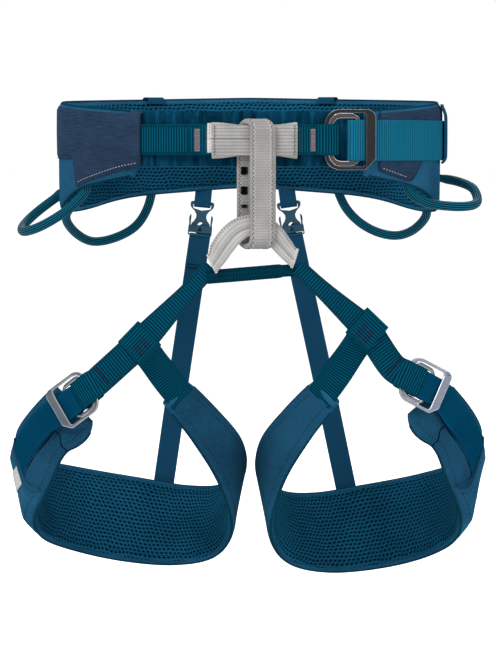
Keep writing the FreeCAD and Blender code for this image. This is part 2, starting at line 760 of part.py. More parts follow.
def leg_buckle(leg):
    axes = leg.buckle if leg.side == "right" else flipped(leg.buckle)
    buckle_frame(leg.side + "_leg_buckle_frame", "leg", axes, leg_lift, 1 if leg.side == "right" else -1)
    buckle_ring(leg.side + "_leg_buckle_ring", "leg", axes, leg_ring_low)


def main_strap_frames(leg, strap_end):
    """Axes down the main strap: its top, half way, at the junction and at the buckle."""
    upper = leg.junction - leg.strap_top
    return [Frame(leg.strap_top, upper, (-0.25, -0.95, 0)),
            Frame((leg.strap_top + leg.junction) * 0.5, upper, (-0.3, -0.94, 0)),
            Frame(leg.junction, strap_end - leg.strap_top, (-0.38, -0.92, 0)),
            Frame(strap_end, leg.buckle.along, leg.buckle.outward)]


STRAP_TOP_GATHER = 5.0      # each edge draws in by this much where the strap meets the arch


def leg_main_strap(leg):
    """Doubled webbing from beside the tie-in arch to its sewn fold round the buckle's bars."""
    sewn_start = -half_leg_frame - 6.0
    route = fold_route("leg", leg_lift, sewn_start, leg_thick)
    strap_end = leg.buckle.at(sewn_start + 1.5, 0, route[0].y - 0.6)
    frames = main_strap_frames(leg, strap_end)
    top_section = []
    # the top end is cut square to X, so that it can swing beside the tie-in arch
    for corner in strap_section(frames[0], doubled, half_strap - STRAP_TOP_GATHER):
        slide = (leg.strap_top.x - corner.x) / frames[0].along.x
        top_section.append(corner + frames[0].along * slide)
    strap = loft([top_section] + [strap_section(f, doubled, half_strap) for f in frames[1:]])
    fold = local_strip(leg.buckle, route, leg_thick, half_strap)
    leg.keep("leg_main_strap", strap.fuse(fold).removeSplitter())
    return frames


def sleeve_block(junction, half_length, half_width, half_thick):
    ends = [Frame(junction.at(along, 0, 0), junction.along, junction.outward)
            for along in (-half_length, half_length)]
    sections = [band_corners(end, -half_thick, half_thick, half_width, half_width) for end in ends]
    return loft(sections, ruled=True)


def leg_front_webbing(leg, junction):
    """Webbing from the pad's inner end up to a sleeve round the main strap."""
    outer = sleeve_block(junction, SLEEVE_HALF_LENGTH, half_strap + 2.2, bore_half + leg_thick)
    bore = sleeve_block(junction, SLEEVE_HALF_LENGTH + 3, half_strap + 0.5, bore_half)
    pad_end = leg.frame(leg.last)
    end = pad_end.at(-5.0, 0, leg_shell_high - 0.6)
    start = junction.at(0, half_strap + 1.4, 0)
    run = end - start
    frames = [Frame(start, run, (-0.1, -0.99, 0)), Frame((start + end) * 0.5, run, (0.2, -0.97, 0)),
              Frame(end, pad_end.along * -1, pad_end.outward)]
    band = loft([strap_section(f, leg_thick, half_strap - 0.5) for f in frames], ruled=True)
    inside = leg.band(leg.last - 1, leg.last, 0, leg_shell_high + 0.2)
    leg.keep("leg_front_webbing", outer.fuse(band).cut(bore).cut(inside))


def leg_tail_strap(leg):
    """Free end: from under the buckle, round the ring's bar, over the pad and into the pocket."""
    half_tail = size("leg_tail_width") / 2
    turn, over_end = tail_route("leg", leg_ring_low, leg_ring_high, leg_thick)
    low = 0.4 + leg_thick / 2
    pad_start = (leg.frame(0).origin - leg.buckle.origin).dot(leg.buckle.along)
    local = [Vector(pad_start - 2.0, low, 0)] + turn
    local += [over_end, Vector(half_leg_frame - 2.0, over_end.y, 0)]
    fold = local_strip(leg.buckle, local, leg_thick, half_tail)
    frames = [Frame(leg.buckle.at(along, 0, over_end.y), leg.buckle.along, leg.buckle.outward)
              for along in (half_leg_frame - 2.5, half_leg_frame + 1.5)]
    onto_pad = ((1.0, 3.6, -5.5), (1.25, 2.3, -5.8), (1.5, 1.2, -6.0), (1.75, 0.4, -5.5), (2.0, 0, -5.0),
                (2.25, 0, -4.0), (2.5, 0, -3.0), (2.75, 0, -1.5), (3.0, 0, 0))
    for position, lift, shift in onto_pad:
        place = leg.frame(position)
        height = leg_shell_high + 0.4 + leg_thick / 2 + lift
        frames.append(Frame(place.at(0, shift, height), place.along, place.outward))
    band = loft([strap_section(f, leg_thick, half_tail) for f in frames])
    leg.keep("leg_tail_strap", fold.fuse(band).removeSplitter())


def leg_pocket(leg):
    """Fabric pocket that takes the free end, and the blank woven tag sewn on it."""
    low = leg_shell_high + 0.8 + leg_thick
    leg.keep("leg_pocket", leg.band(2.1, 4.0, low, low + fabric, margin=3.0))
    place = leg.frame(3.1)
    tag = [Frame(place.at(along, 2.0, low + fabric + 0.5), place.along, place.outward)
           for along in (-4.5, 4.5)]
    leg.keep("leg_label", loft([band_corners(end, 0, 0.6, 10.0, 10.0) for end in tag], ruled=True))


def strap_tack(place, half_width, level):
    """A short raised bar of stitching across a strap."""
    ends = [Frame(place.at(along, 0, level), place.along, place.outward) for along in (-1.1, 1.1)]
    return loft([band_corners(end, 0, TACK_HEIGHT, half_width, half_width) for end in ends], ruled=True)


def leg_bar_tacks(leg, frames):
    junction = frames[2]
    tacks = [strap_tack(Frame(junction.at(along, 4.5, 0), junction.along, junction.outward), 6.5,
                        bore_half + leg_thick) for along in (-5.0, 3.5)]
    end = frames[3].origin
    below = Frame(leg.junction * 0.28 + end * 0.72, end - leg.junction, (-0.42, -0.9, 0))
    tacks.append(strap_tack(below, half_strap - 2, doubled / 2 + 0.5))
    leg.keep("leg_bar_tacks", Part.makeCompound(tacks))


def left_stations():
    shifted = []
    for ((x, y, z), width, lean), (inward, height) in zip(LEG_STATIONS, LEFT_SHIFTS):
        shifted.append(((x + inward, y, z + height), width, lean))
    return shifted


LEGS = (
    Leg("right", LEG_STATIONS, (-34.6, -111.0, -114.0), (-88.4, -102.0, -163.3),
        Frame((-139.3, -82.8, -210.2), (-0.704, 0.41, -0.58), (-0.5, -0.86, 0))),
    Leg("left", left_stations(), (-36.3, -111.0, -101.8), (-91.6, -101.0, -152.5),
        Frame((-135.7, -84.0, -198.0), (-0.79, 0.41, -0.455), (-0.46, -0.88, 0))),
)
for leg in LEGS:
    leg_pads(leg)
    leg_buckle(leg)
    strap_frames = leg_main_strap(leg)
    leg_front_webbing(leg, strap_frames[2])
    leg_tail_strap(leg)
    leg_pocket(leg)
    leg_bar_tacks(leg, strap_frames)

# ---------------------------------------------------------------- risers and their clips

RISERS = {
    "right": {"top": Vector(-41.0, 98.6, -53.5), "foot": Vector(-77.0, 104.4, -310.0)},
    "left": {"top": Vector(34.0, 98.6, -53.5), "foot": Vector(87.0, 106.2, -314.0)},
}
HOUSING_START = 12.0        # distance of the housing's mouth below the strap bar
HOUSING_WALL = 1.9
THROAT_DEPTH = 14.2
FORK_DEPTH = 9.0            # open part of the housing, between its two side arms
half_riser = size("riser_width") / 2
half_tab = size("riser_tab_width") / 2
riser_thick = size("riser_thickness")


def clip_axes(side):
    """Strap axes of a riser clip: along is down the riser, outward is to the rear."""
    riser = RISERS[side]
    return Frame(riser["top"], riser["foot"] - riser["top"] - Vector(0, 0, 120), (0, 1, 0))


def clip_male(name, axes):
    """Insert half: strap bar with a slot, a waisted body and two prongs."""
    body = document.addObject("PartDesign::Body", name)
    half = dim("clip_width") * 0.5
    profile = ((0.9, 0.30), (0.1, 0.66), (0.0, 0.84), (0.9, 0.97), (2.6, 1.0), (4.6, 0.97), (6.4, 0.86),
               (8.8, 0.60), (11.6, 0.43), (14.4, 0.43), (17.0, 0.55), (19.6, 0.76), (23.4, 0.78),
               (25.4, 0.68), (25.4, 0.52), (22.6, 0.40), (18.4, 0.10))
    upper = [(x, half * share) for x, share in profile]
    outline = upper + [(x, -y) for x, y in upper[::-1]]
    blade = pad(body, sketch_polygon(body, "XY_Plane", outline, name + "_outline"), dim("clip_blade"),
                name + "_blade")
    slot = [(3.0, half * 0.76), (6.4, half * 0.72), (8.0, 0), (6.4, -(half * 0.72)), (3.0, -(half * 0.76))]
    pocket(body, sketch_polygon(body, "XY_Plane", slot, name + "_slot"), name + "_strap_slot")
    body.Placement = axes.placement()
    return keep(name, body)


def clip_female(name, axes):
    """Housing half: two side arms, a throat for the prongs and a slot for the riser."""
    body = document.addObject("PartDesign::Body", name)
    half = dim("clip_width") * 0.5
    start = HOUSING_START
    end = dim("clip_housing_length") + start
    thick = dim("clip_thickness")
    shoulder = [(start, half * 0.84), (start + 0.7, half * 0.95), (start + 3.0, half), (start + 8.0, half * 0.95),
                (start + 11.0, half), (end - 0.8, half), (end, half - 0.6)]
    rim = shoulder + [(x, -y) for x, y in shoulder[::-1]]
    outline = sketch_polygon(body, "XY_Plane", rim, name + "_outline")
    pad(body, outline, thick, name + "_housing")
    throat_end = start + THROAT_DEPTH
    inner = half - HOUSING_WALL
    cavity = sketch_polygon(body, "XY_Plane", [(start - 1, -inner), (throat_end, -inner),
                                               (throat_end, inner), (start - 1, inner)],
                            name + "_cavity")
    pocket(body, cavity, name + "_throat", dim("clip_blade") + 0.8)
    fork_end = start + FORK_DEPTH
    fork = [(start - 1, -inner), (fork_end, -inner), (fork_end, inner), (start - 1, inner)]
    pocket(body, sketch_polygon(body, "XY_Plane", fork, name + "_fork"), name + "_fork_opening")
    notch = [(fork_end + 0.8, 0), (throat_end - 0.2, half * 0.21), (throat_end - 0.2, -half * 0.21)]
    pocket(body, sketch_polygon(body, "XY_Plane", notch, name + "_notch"), name + "_centre_window")
    slot = sketch_polygon(body, "XY_Plane", [(end - 2.6, -half * 0.9), (end - 1.0, -half * 0.9),
                                             (end - 1.0, half * 0.9), (end - 2.6, half * 0.9)],
                          name + "_slot")
    pocket(body, slot, name + "_riser_slot")
    body.Placement = axes.placement()
    return keep(name, body)


def riser_tab(axes):
    """Sewn loop that holds the insert half by its strap bar."""
    bar = 1.6
    radius = size("clip_blade") / 2 + 0.35 + riser_thick / 2
    up = -9.7
    front = [Vector(up, -riser_thick * 0.55, 0), Vector(-6.0, -riser_thick * 0.55, 0),
             Vector(-2.0, -radius, 0)]
    turn = arc_points(bar + 0.4, 0, radius, -90, 90, 6)
    rear = [Vector(-2.0, radius, 0), Vector(-6.0, riser_thick * 0.6, 0), Vector(-8.5, riser_thick * 0.6, 0)]
    return local_strip(axes, front + turn + rear, riser_thick, half_tab)


CLIPS = {}
for side in ("right", "left"):
    axes = clip_axes(side)
    CLIPS[side] = axes
    clip_male(side + "_clip_male", axes)
    clip_female(side + "_clip_female", axes)
    keep_shape(side + "_riser_tab", riser_tab(axes))
    housing_end = HOUSING_START + size("clip_housing_length")
    start = axes.at(housing_end + 0.4, 0, 0.6)
    foot = RISERS[side]["foot"]
    middle = start * 0.45 + foot * 0.55 + Vector(0, 3.0, 0)
    lower = start * 0.06 + foot * 0.94 + Vector(0, 2.0, 0)
    frames = [Frame(start, axes.along, (0, 1, 0)), Frame(middle, foot - start, (0, 1, 0)),
              Frame(lower, foot - start, (0, 0.98, -0.1)), Frame(foot, foot - lower, (0, 0.9, -0.3))]
    keep_shape(side + "_riser_strap", loft([strap_section(f, riser_thick, half_riser) for f in frames]))

# ---------------------------------------------------------------- gear loops

OUTER_FACE = 17.0           # centre of a tube that ends on the belt's outer face
UNDER_EDGE = 5.6            # centre of a tube that ends under the belt's lower edge
ANCHOR_HEIGHT = 9.0
ANCHOR_THICKNESS = 1.8
GEAR_LOOPS = {
    "right_front": (belt_point(-62, UNDER_EDGE, -43.0),
                    ((-149.0, -47.0, -57.0), (-170.0, -38.0, -70.0), (-187.0, -20.0, -76.0),
                     (-190.0, 0.0, -72.0), (-180.0, 17.0, -61.0)),
                    belt_point(-105, OUTER_FACE, -45.0)),
    "right_rear": (belt_point(-119, OUTER_FACE, -48.0),
                   ((-158.0, 60.0, -64.0), (-153.5, 78.0, -78.0), (-139.0, 94.0, -88.0),
                    (-120.0, 102.0, -86.0), (-101.0, 104.5, -76.0), (-90.0, 104.0, -60.0)),
                   belt_point(-149.5, OUTER_FACE, -38.0)),
    "left_front": (belt_point(58, UNDER_EDGE, -41.0),
                   ((138.0, -49.0, -48.0), (152.0, -43.0, -53.0), (176.0, -30.0, -55.0),
                    (189.5, -13.0, -52.0), (188.0, 5.0, -41.0), (176.0, 20.0, -35.0)),
                   belt_point(104, OUTER_FACE, -32.0)),
    "left_rear": (belt_point(119, OUTER_FACE, -46.0),
                  ((153.0, 62.0, -62.0), (145.0, 80.0, -76.0), (131.0, 96.0, -83.0),
                   (114.0, 103.0, -81.0), (97.0, 104.0, -72.0), (84.0, 102.0, -58.0)),
                  belt_point(153, OUTER_FACE, -38.0)),
}


def rounded_path(points):
    """Straight runs joined by tangent arcs, each as large as its two runs allow."""
    edges = []
    start = points[0]
    for before, corner, after in zip(points, points[1:], points[2:]):
        back = (before - corner)
        ahead = (after - corner)
        reach = 0.45 * min(back.Length, ahead.Length)
        back.normalize()
        ahead.normalize()
        turn = math.pi - back.getAngle(ahead)
        radius = reach / math.tan(turn / 2)
        bisector = (back + ahead).normalize()
        middle = corner + bisector * (radius / math.cos(turn / 2) - radius)
        edges.append(Part.LineSegment(start, corner + back * reach).toShape())
        edges.append(Part.Arc(corner + back * reach, middle, corner + ahead * reach).toShape())
        start = corner + ahead * reach
    edges.append(Part.LineSegment(start, points[-1]).toShape())
    return Part.Wire(edges)


def tube(path, radius, bore=0.0):
    """Round tube swept along a path."""
    first = path.Edges[0]
    start = first.valueAt(first.FirstParameter)
    direction = first.tangentAt(first.FirstParameter)
    outer = Part.Wire(Part.makeCircle(radius, start, direction))
    solid = path.makePipeShell([outer], True, False)
    if bore:
        inner = Part.Wire(Part.makeCircle(bore, start, direction))
        solid = solid.cut(path.makePipeShell([inner], True, False))
    return solid


anchor_tabs = []
for loop_name, (first_end, route, last_end) in GEAR_LOOPS.items():
    points = [first_end] + [Vector(*p) for p in route] + [last_end]
    path = rounded_path(points)
    keep_shape(loop_name + "_gear_loop", tube(path, size("gear_tube_radius"), size("gear_bore_radius")))
    keep_shape(loop_name + "_gear_core", tube(path, size("gear_core_radius")))
    for end in (first_end, last_end):
        angle = math.degrees(math.atan2(end.x / (size("waist_half_width") + OUTER_FACE),
                                        -end.y / (size("waist_half_depth") + OUTER_FACE)))
        if abs(angle) > 90:
            low = end.z + size("gear_tube_radius") + 0.8
            inner = (panel_outer if abs(angle) > 140 else shell_outer) + 0.2
            anchor_tabs.append(belt_band(spread(angle - 2.4, angle + 2.4, 2), inner, inner + ANCHOR_THICKNESS,
                                         lambda a: low, lambda a: low + ANCHOR_HEIGHT))
keep_shape("gear_loop_anchors", Part.makeCompound(anchor_tabs))

# ---------------------------------------------------------------- checks and export

document.recompute()
for thing in document.Objects:
    if any(state in ("Invalid", "Error") for state in thing.State):
        raise RuntimeError(f"{thing.Name} failed: {thing.State}")
for node_name, feature in nodes.items():
    shape = feature.Shape
    if shape.isNull() or not shape.isValid() or not shape.Solids:
        raise RuntimeError(f"{node_name} has no valid solid")
os.makedirs("parts", exist_ok=True)
for node_name, feature in nodes.items():
    feature.Shape.exportStep(f"parts/{node_name}.step")
print(len(nodes), "nodes written")
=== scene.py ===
"""Visual model of the climbing harness: fabric, webbing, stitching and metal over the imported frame."""
import bpy
import bmesh
import math
import random
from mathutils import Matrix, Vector


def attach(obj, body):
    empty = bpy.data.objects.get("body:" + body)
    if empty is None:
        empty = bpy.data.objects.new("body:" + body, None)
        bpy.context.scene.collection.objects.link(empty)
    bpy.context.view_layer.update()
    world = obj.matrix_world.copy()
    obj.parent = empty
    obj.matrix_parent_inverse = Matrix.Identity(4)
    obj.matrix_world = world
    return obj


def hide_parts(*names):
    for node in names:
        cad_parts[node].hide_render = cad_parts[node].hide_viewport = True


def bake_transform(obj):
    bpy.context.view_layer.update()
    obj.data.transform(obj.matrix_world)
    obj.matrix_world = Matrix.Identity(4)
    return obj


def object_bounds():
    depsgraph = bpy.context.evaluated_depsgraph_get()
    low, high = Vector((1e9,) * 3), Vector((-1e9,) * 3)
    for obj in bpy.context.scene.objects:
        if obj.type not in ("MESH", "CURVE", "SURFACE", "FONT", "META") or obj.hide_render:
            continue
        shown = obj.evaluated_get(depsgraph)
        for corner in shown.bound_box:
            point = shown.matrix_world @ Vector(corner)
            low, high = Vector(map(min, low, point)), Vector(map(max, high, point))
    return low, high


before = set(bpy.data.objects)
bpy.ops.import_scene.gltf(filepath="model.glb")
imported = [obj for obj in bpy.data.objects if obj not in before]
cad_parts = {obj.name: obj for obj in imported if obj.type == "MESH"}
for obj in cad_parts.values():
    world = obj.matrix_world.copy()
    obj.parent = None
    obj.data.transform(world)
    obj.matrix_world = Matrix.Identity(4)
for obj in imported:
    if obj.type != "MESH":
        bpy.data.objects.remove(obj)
cad_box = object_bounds()
MM = 0.001
MIRROR_X = 1.3                  # plane that mirrors the right leg loop into the left one
CREASE = math.radians(40)
SHEEN_ROUGHNESS = 0.35


# ------------------------------------------------------------------ geometry helpers (millimetres)

class Axes:
    """Local axes of a strap: along it, across it, and outward from the body."""

    def __init__(self, origin, along, outward):
        self.origin = Vector(origin)
        self.along = Vector(along).normalized()
        outward = Vector(outward)
        self.outward = (outward - self.along * outward.dot(self.along)).normalized()
        self.across = self.outward.cross(self.along)

    def at(self, along, across, outward):
        return self.origin + self.along * along + self.across * across + self.outward * outward


def smooth(values, position):
    """Value on a smooth curve through evenly spaced ones."""
    index = max(0, min(int(position), len(values) - 2))
    share = position - index
    here, ahead = values[index], values[index + 1]
    before = values[index - 1] if index else here * 2 - ahead
    beyond = values[index + 2] if index + 2 < len(values) else ahead * 2 - here
    slope, next_slope = (ahead - before) * 0.5, (beyond - here) * 0.5
    square, cube = share ** 2, share ** 3
    return (here * (2 * cube - 3 * square + 1) + slope * (cube - 2 * square + share)
            + ahead * (3 * square - 2 * cube) + next_slope * (cube - square))


def spread(first, last, count):
    return [first + (last - first) * i / count for i in range(count + 1)]


def interpolate(stops, position):
    for (start, low), (end, high) in zip(stops, stops[1:]):
        if position <= end:
            return low + (high - low) * (position - start) / (end - start)
    return stops[-1][1]


def smoothstep(low, high, value):
    share = max(0.0, min(1.0, (value - low) / (high - low)))
    return share * share * (3 - 2 * share)


def rounded(share):
    """Quarter circle from 0 to 1."""
    return math.sqrt(max(0.0, 1 - (1 - min(1, share)) ** 2))


def measure(points):
    """Distance along a line at each of its points."""
    run = [0.0]
    for a, b in zip(points, points[1:]):
        run.append(run[-1] + (b - a).length)
    return run


def lengths(points):
    """The same distances in metres."""
    return [distance * MM for distance in measure(points)]


def travel(points, index):
    """From the point before to the point after."""
    return points[min(index + 1, len(points) - 1)] - points[max(index - 1, 0)]


def flat_point(p):
    return Vector((p.x, p.y, 0))


def resample(points, step):
    """Even points on a smooth curve through the given ones."""
    dense = [smooth(points, index / 12) for index in range((len(points) - 1) * 12 + 1)]
    run = measure(dense)
    count = max(2, round(run[-1] / step))
    found, index = [], 0
    for k in range(count + 1):
        goal = run[-1] * k / count
        while index < len(run) - 2 and run[index + 1] < goal:
            index += 1
        length = run[index + 1] - run[index]
        share = (goal - run[index]) / length if length else 0
        found.append(dense[index].lerp(dense[index + 1], share))
    return found


class Leg:
    """Padded band of one leg loop: a position runs from its buckle end, 0, to its inner end, last."""

    def __init__(self, side, shifts, strap_top, junction, buckle):
        self.side, self.mirror, self.body = side, side == "left", f"{side}_leg_loop"
        self.places = [Vector((x + dx, y, z + dz)) for ((x, y, z), _, _), (dx, dz) in zip(LEG_STATIONS, shifts)]
        self.widths = [w for _, w, _ in LEG_STATIONS]
        self.leans = [lean for _, _, lean in LEG_STATIONS]
        self.strap_top, self.junction, self.buckle = Vector(strap_top), Vector(junction), buckle
        self.last = len(LEG_STATIONS) - 1

    def name(self, text):
        return f"{self.side}_{text}"

    def frame(self, position):
        place = smooth(self.places, position)
        run = smooth(self.places, min(position + 0.1, self.last)) - smooth(self.places, max(position - 0.1, 0))
        out = place - LEG_CENTRE
        out.z = 0
        level = Axes(place, run, out)
        lean = math.radians(smooth(self.leans, position))
        return Axes(place, level.along, level.outward * math.cos(lean) + level.across * math.sin(lean))

    def half(self, position):
        return smooth(self.widths, position)


class Surface:
    """Collects grids of points in millimetres into one mesh with UVs in metres."""

    def __init__(self):
        self.points, self.faces, self.uvs, self.slots = [], [], [], []

    def grid(self, rows, us, vs, closed=False, slot=0):
        """rows run along u; each row's points run along v. slot may be a function of (i, j)."""
        base, width = len(self.points), len(rows[0])
        for row in rows:
            self.points.extend(row)
        for i in range(len(rows) - 1):
            for j in range(width if closed else width - 1):
                k = (j + 1) % width
                self.faces.append([base + i * width + j, base + (i + 1) * width + j,
                                   base + (i + 1) * width + k, base + i * width + k])
                self.uvs.append([(us[i], vs[j]), (us[i + 1], vs[j]), (us[i + 1], vs[j + 1]), (us[i], vs[j + 1])])
                self.slots.append(slot(i, j) if callable(slot) else slot)
        return base

    def cap(self, corners, slot):
        self.faces.append(list(corners))
        self.uvs.append([(0.0, 0.0)] * len(corners))
        self.slots.append(slot)

    def tube(self, rows, us, vs, slot=0):
        """Closed all round, capped at both ends; vs may be one short, and then ends as it starts."""
        vs = vs if len(vs) > len(rows[0]) else vs + vs[:1]
        base, count = self.grid(rows, us, vs, True, slot), len(rows[0])
        last = base + (len(rows) - 1) * count
        ends = (slot(0, 0), slot(len(rows) - 2, 0)) if callable(slot) else (slot, slot)
        self.cap(range(base, base + count), ends[0])
        self.cap(range(last + count - 1, last - 1, -1), ends[1])

    def level_uvs(self, slot=0):
        """Uses the true height as v, so that the pattern of this slot runs level."""
        for index, face in enumerate(self.faces):
            if self.slots[index] == slot:
                self.uvs[index] = [(u, self.points[p].z * MM) for p, (u, _) in zip(face, self.uvs[index])]

    def build(self, name, materials, owner, replaces=(), slot=None):
        """Makes the mesh. owner is a body, a leg (which names and mirrors the piece), or None."""
        if isinstance(owner, Leg):
            name, replaces = owner.name(name), [owner.name(node) for node in replaces]
        mesh = bpy.data.meshes.new(name)
        points = [p * MM for p in self.points]
        if isinstance(owner, Leg) and owner.mirror:
            points = [Vector((2 * MIRROR_X * MM - p.x, p.y, p.z)) for p in points]
        mesh.from_pydata(points, [], self.faces)
        layer = mesh.uv_layers.new(name="UVMap")
        for loop, uv in enumerate(uv for face in self.uvs for uv in face):
            layer.data[loop].uv = uv
        for material in materials:
            mesh.materials.append(material)
        for polygon, index in zip(mesh.polygons, self.slots):
            polygon.material_index = index
        work = bmesh.new()
        work.from_mesh(mesh)
        bmesh.ops.recalc_face_normals(work, faces=work.faces)
        for edge in work.edges:
            if len(edge.link_faces) == 2 and edge.calc_face_angle(0) > CREASE:
                edge.smooth = False
        for face in work.faces:
            face.smooth = True
        work.to_mesh(mesh)
        work.free()
        thing = bpy.data.objects.new(name, mesh)
        bpy.context.scene.collection.objects.link(thing)
        if owner:
            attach(thing, owner.body if isinstance(owner, Leg) else owner)
        if replaces:
            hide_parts(*replaces)
        return thing


def flat_profile(half_width, half_thick, faces=8, turns=4):
    """Closed outline of flat webbing with round selvedges: (across, outward, v in metres)."""
    outline, inner = [], half_width - half_thick
    for side in (1, -1):
        for k in range(faces + 1):
            across = side * (2 * inner * k / faces - inner)
            outline.append((across, side * half_thick, across * MM))
        for k in range(1, turns):
            turn = side * math.pi / 2 - math.pi * k / turns
            outline.append((side * inner + half_thick * math.cos(turn), half_thick * math.sin(turn),
                            side * half_width * MM))
    return outline


def v_of(outline):
    return [v for _, _, v in outline]


def sweep(surface, frames, half_widths, thicknesses, start=0.0):
    """Webbing along axes; half_widths and thicknesses are numbers or one per frame."""
    def one(values, index):
        return values[index] if isinstance(values, list) else values

    rows = [[axes.at(0, a, o) for a, o, _ in flat_profile(one(half_widths, i), one(thicknesses, i) / 2)]
            for i, axes in enumerate(frames)]
    us = [u + start for u in lengths([axes.origin for axes in frames])]
    surface.tube(rows, us, v_of(flat_profile(one(half_widths, 0), 0.9)))


def path_axes(points, outward):
    """Axes along a smooth path; outward is a function of the share of the way along."""
    return [Axes(point, travel(points, index), outward(index / (len(points) - 1)))
            for index, point in enumerate(points)]


def plan_axes(points):
    """Axes along a path in plan; outward is on the side away from the wearer at its start."""
    runs = [travel(points, index) for index in range(len(points))]
    return [Axes(point, run, (run.y, -run.x, 0)) for point, run in zip(points, runs)]


def route_axes(strap, route, step=0.6):
    """Axes along a route in the (along, outward) plane of a strap."""
    flat = resample([Vector((p[0], p[1], 0)) for p in route], step)
    frames = []
    for index, point in enumerate(flat):
        run = travel(flat, index).normalized()
        frames.append(Axes(strap.at(point.x, 0, point.y), strap.along * run.x + strap.outward * run.y,
                           strap.outward * run.x - strap.along * run.y))
    return frames


def round_tube(surface, points, radius, sides=8, flat=None):
    """Round tube along points; flat(share) gives (across scale, outward scale)."""
    rows, across = [], None
    for index, point in enumerate(points):
        run = travel(points, index).normalized()
        across = across or run.orthogonal().normalized()
        across = (across - run * across.dot(run)).normalized()
        second = run.cross(across)
        wide, deep = flat(index / (len(points) - 1)) if flat else (1, 1)
        rows.append([point + across * (radius * wide * math.cos(math.tau * k / sides))
                     + second * (radius * deep * math.sin(math.tau * k / sides)) for k in range(sides)])
    surface.tube(rows, lengths(points), [k / sides for k in range(sides + 1)])


def piping(owner, name, material, points, radius, slot="outer_fabric", sides=8):
    surface = Surface()
    round_tube(surface, points, radius, sides)
    surface.build(name, [material], owner, slot=slot)


def stitch_run(surface, points, normals, length=2.2, gap=1.0, radius=0.32, wander=0.0):
    """Separate thread stitches lying along a line, sunk into the fabric at their ends."""
    normals = [normals] * len(points) if isinstance(normals, Vector) else normals
    run = measure(points)

    def place(distance):
        for index in range(len(run) - 1):
            if distance <= run[index + 1]:
                share = (distance - run[index]) / max(run[index + 1] - run[index], 1e-6)
                return (points[index].lerp(points[index + 1], share),
                        normals[index].lerp(normals[index + 1], share).normalized())
        return points[-1], normals[-1]

    distance, side = gap / 2, 1
    while distance + length < run[-1]:
        (first, up), (last, _) = place(distance), place(distance + length)
        along = (last - first).normalized()
        across = up.cross(along).normalized()
        first, last = first - across * wander * side, last + across * wander * side
        side = -side
        rows = []
        for k in range(5):
            share = k / 4
            swell = math.sin(math.pi * (0.12 + 0.76 * share)) * radius
            centre = first.lerp(last, share) + up * (swell * 0.9 - 0.12)
            rows.append([centre + across * (swell * math.cos(math.tau * j / 6))
                         + up * (swell * math.sin(math.tau * j / 6)) for j in range(6)])
        us = [distance * MM] * 2 + [(distance + length) * MM] * 3
        surface.tube(rows, us, [j / 6 for j in range(7)])
        distance += length + gap


def stitches(owner, name, material, runs, slot="dark_thread", replaces=()):
    """One piece of thread; each run is its points, the way they face, then stitch_run's settings."""
    surface = Surface()
    for run in runs:
        stitch_run(surface, *run)
    surface.build(name, [material], owner, replaces, slot)


# ------------------------------------------------------------------ materials

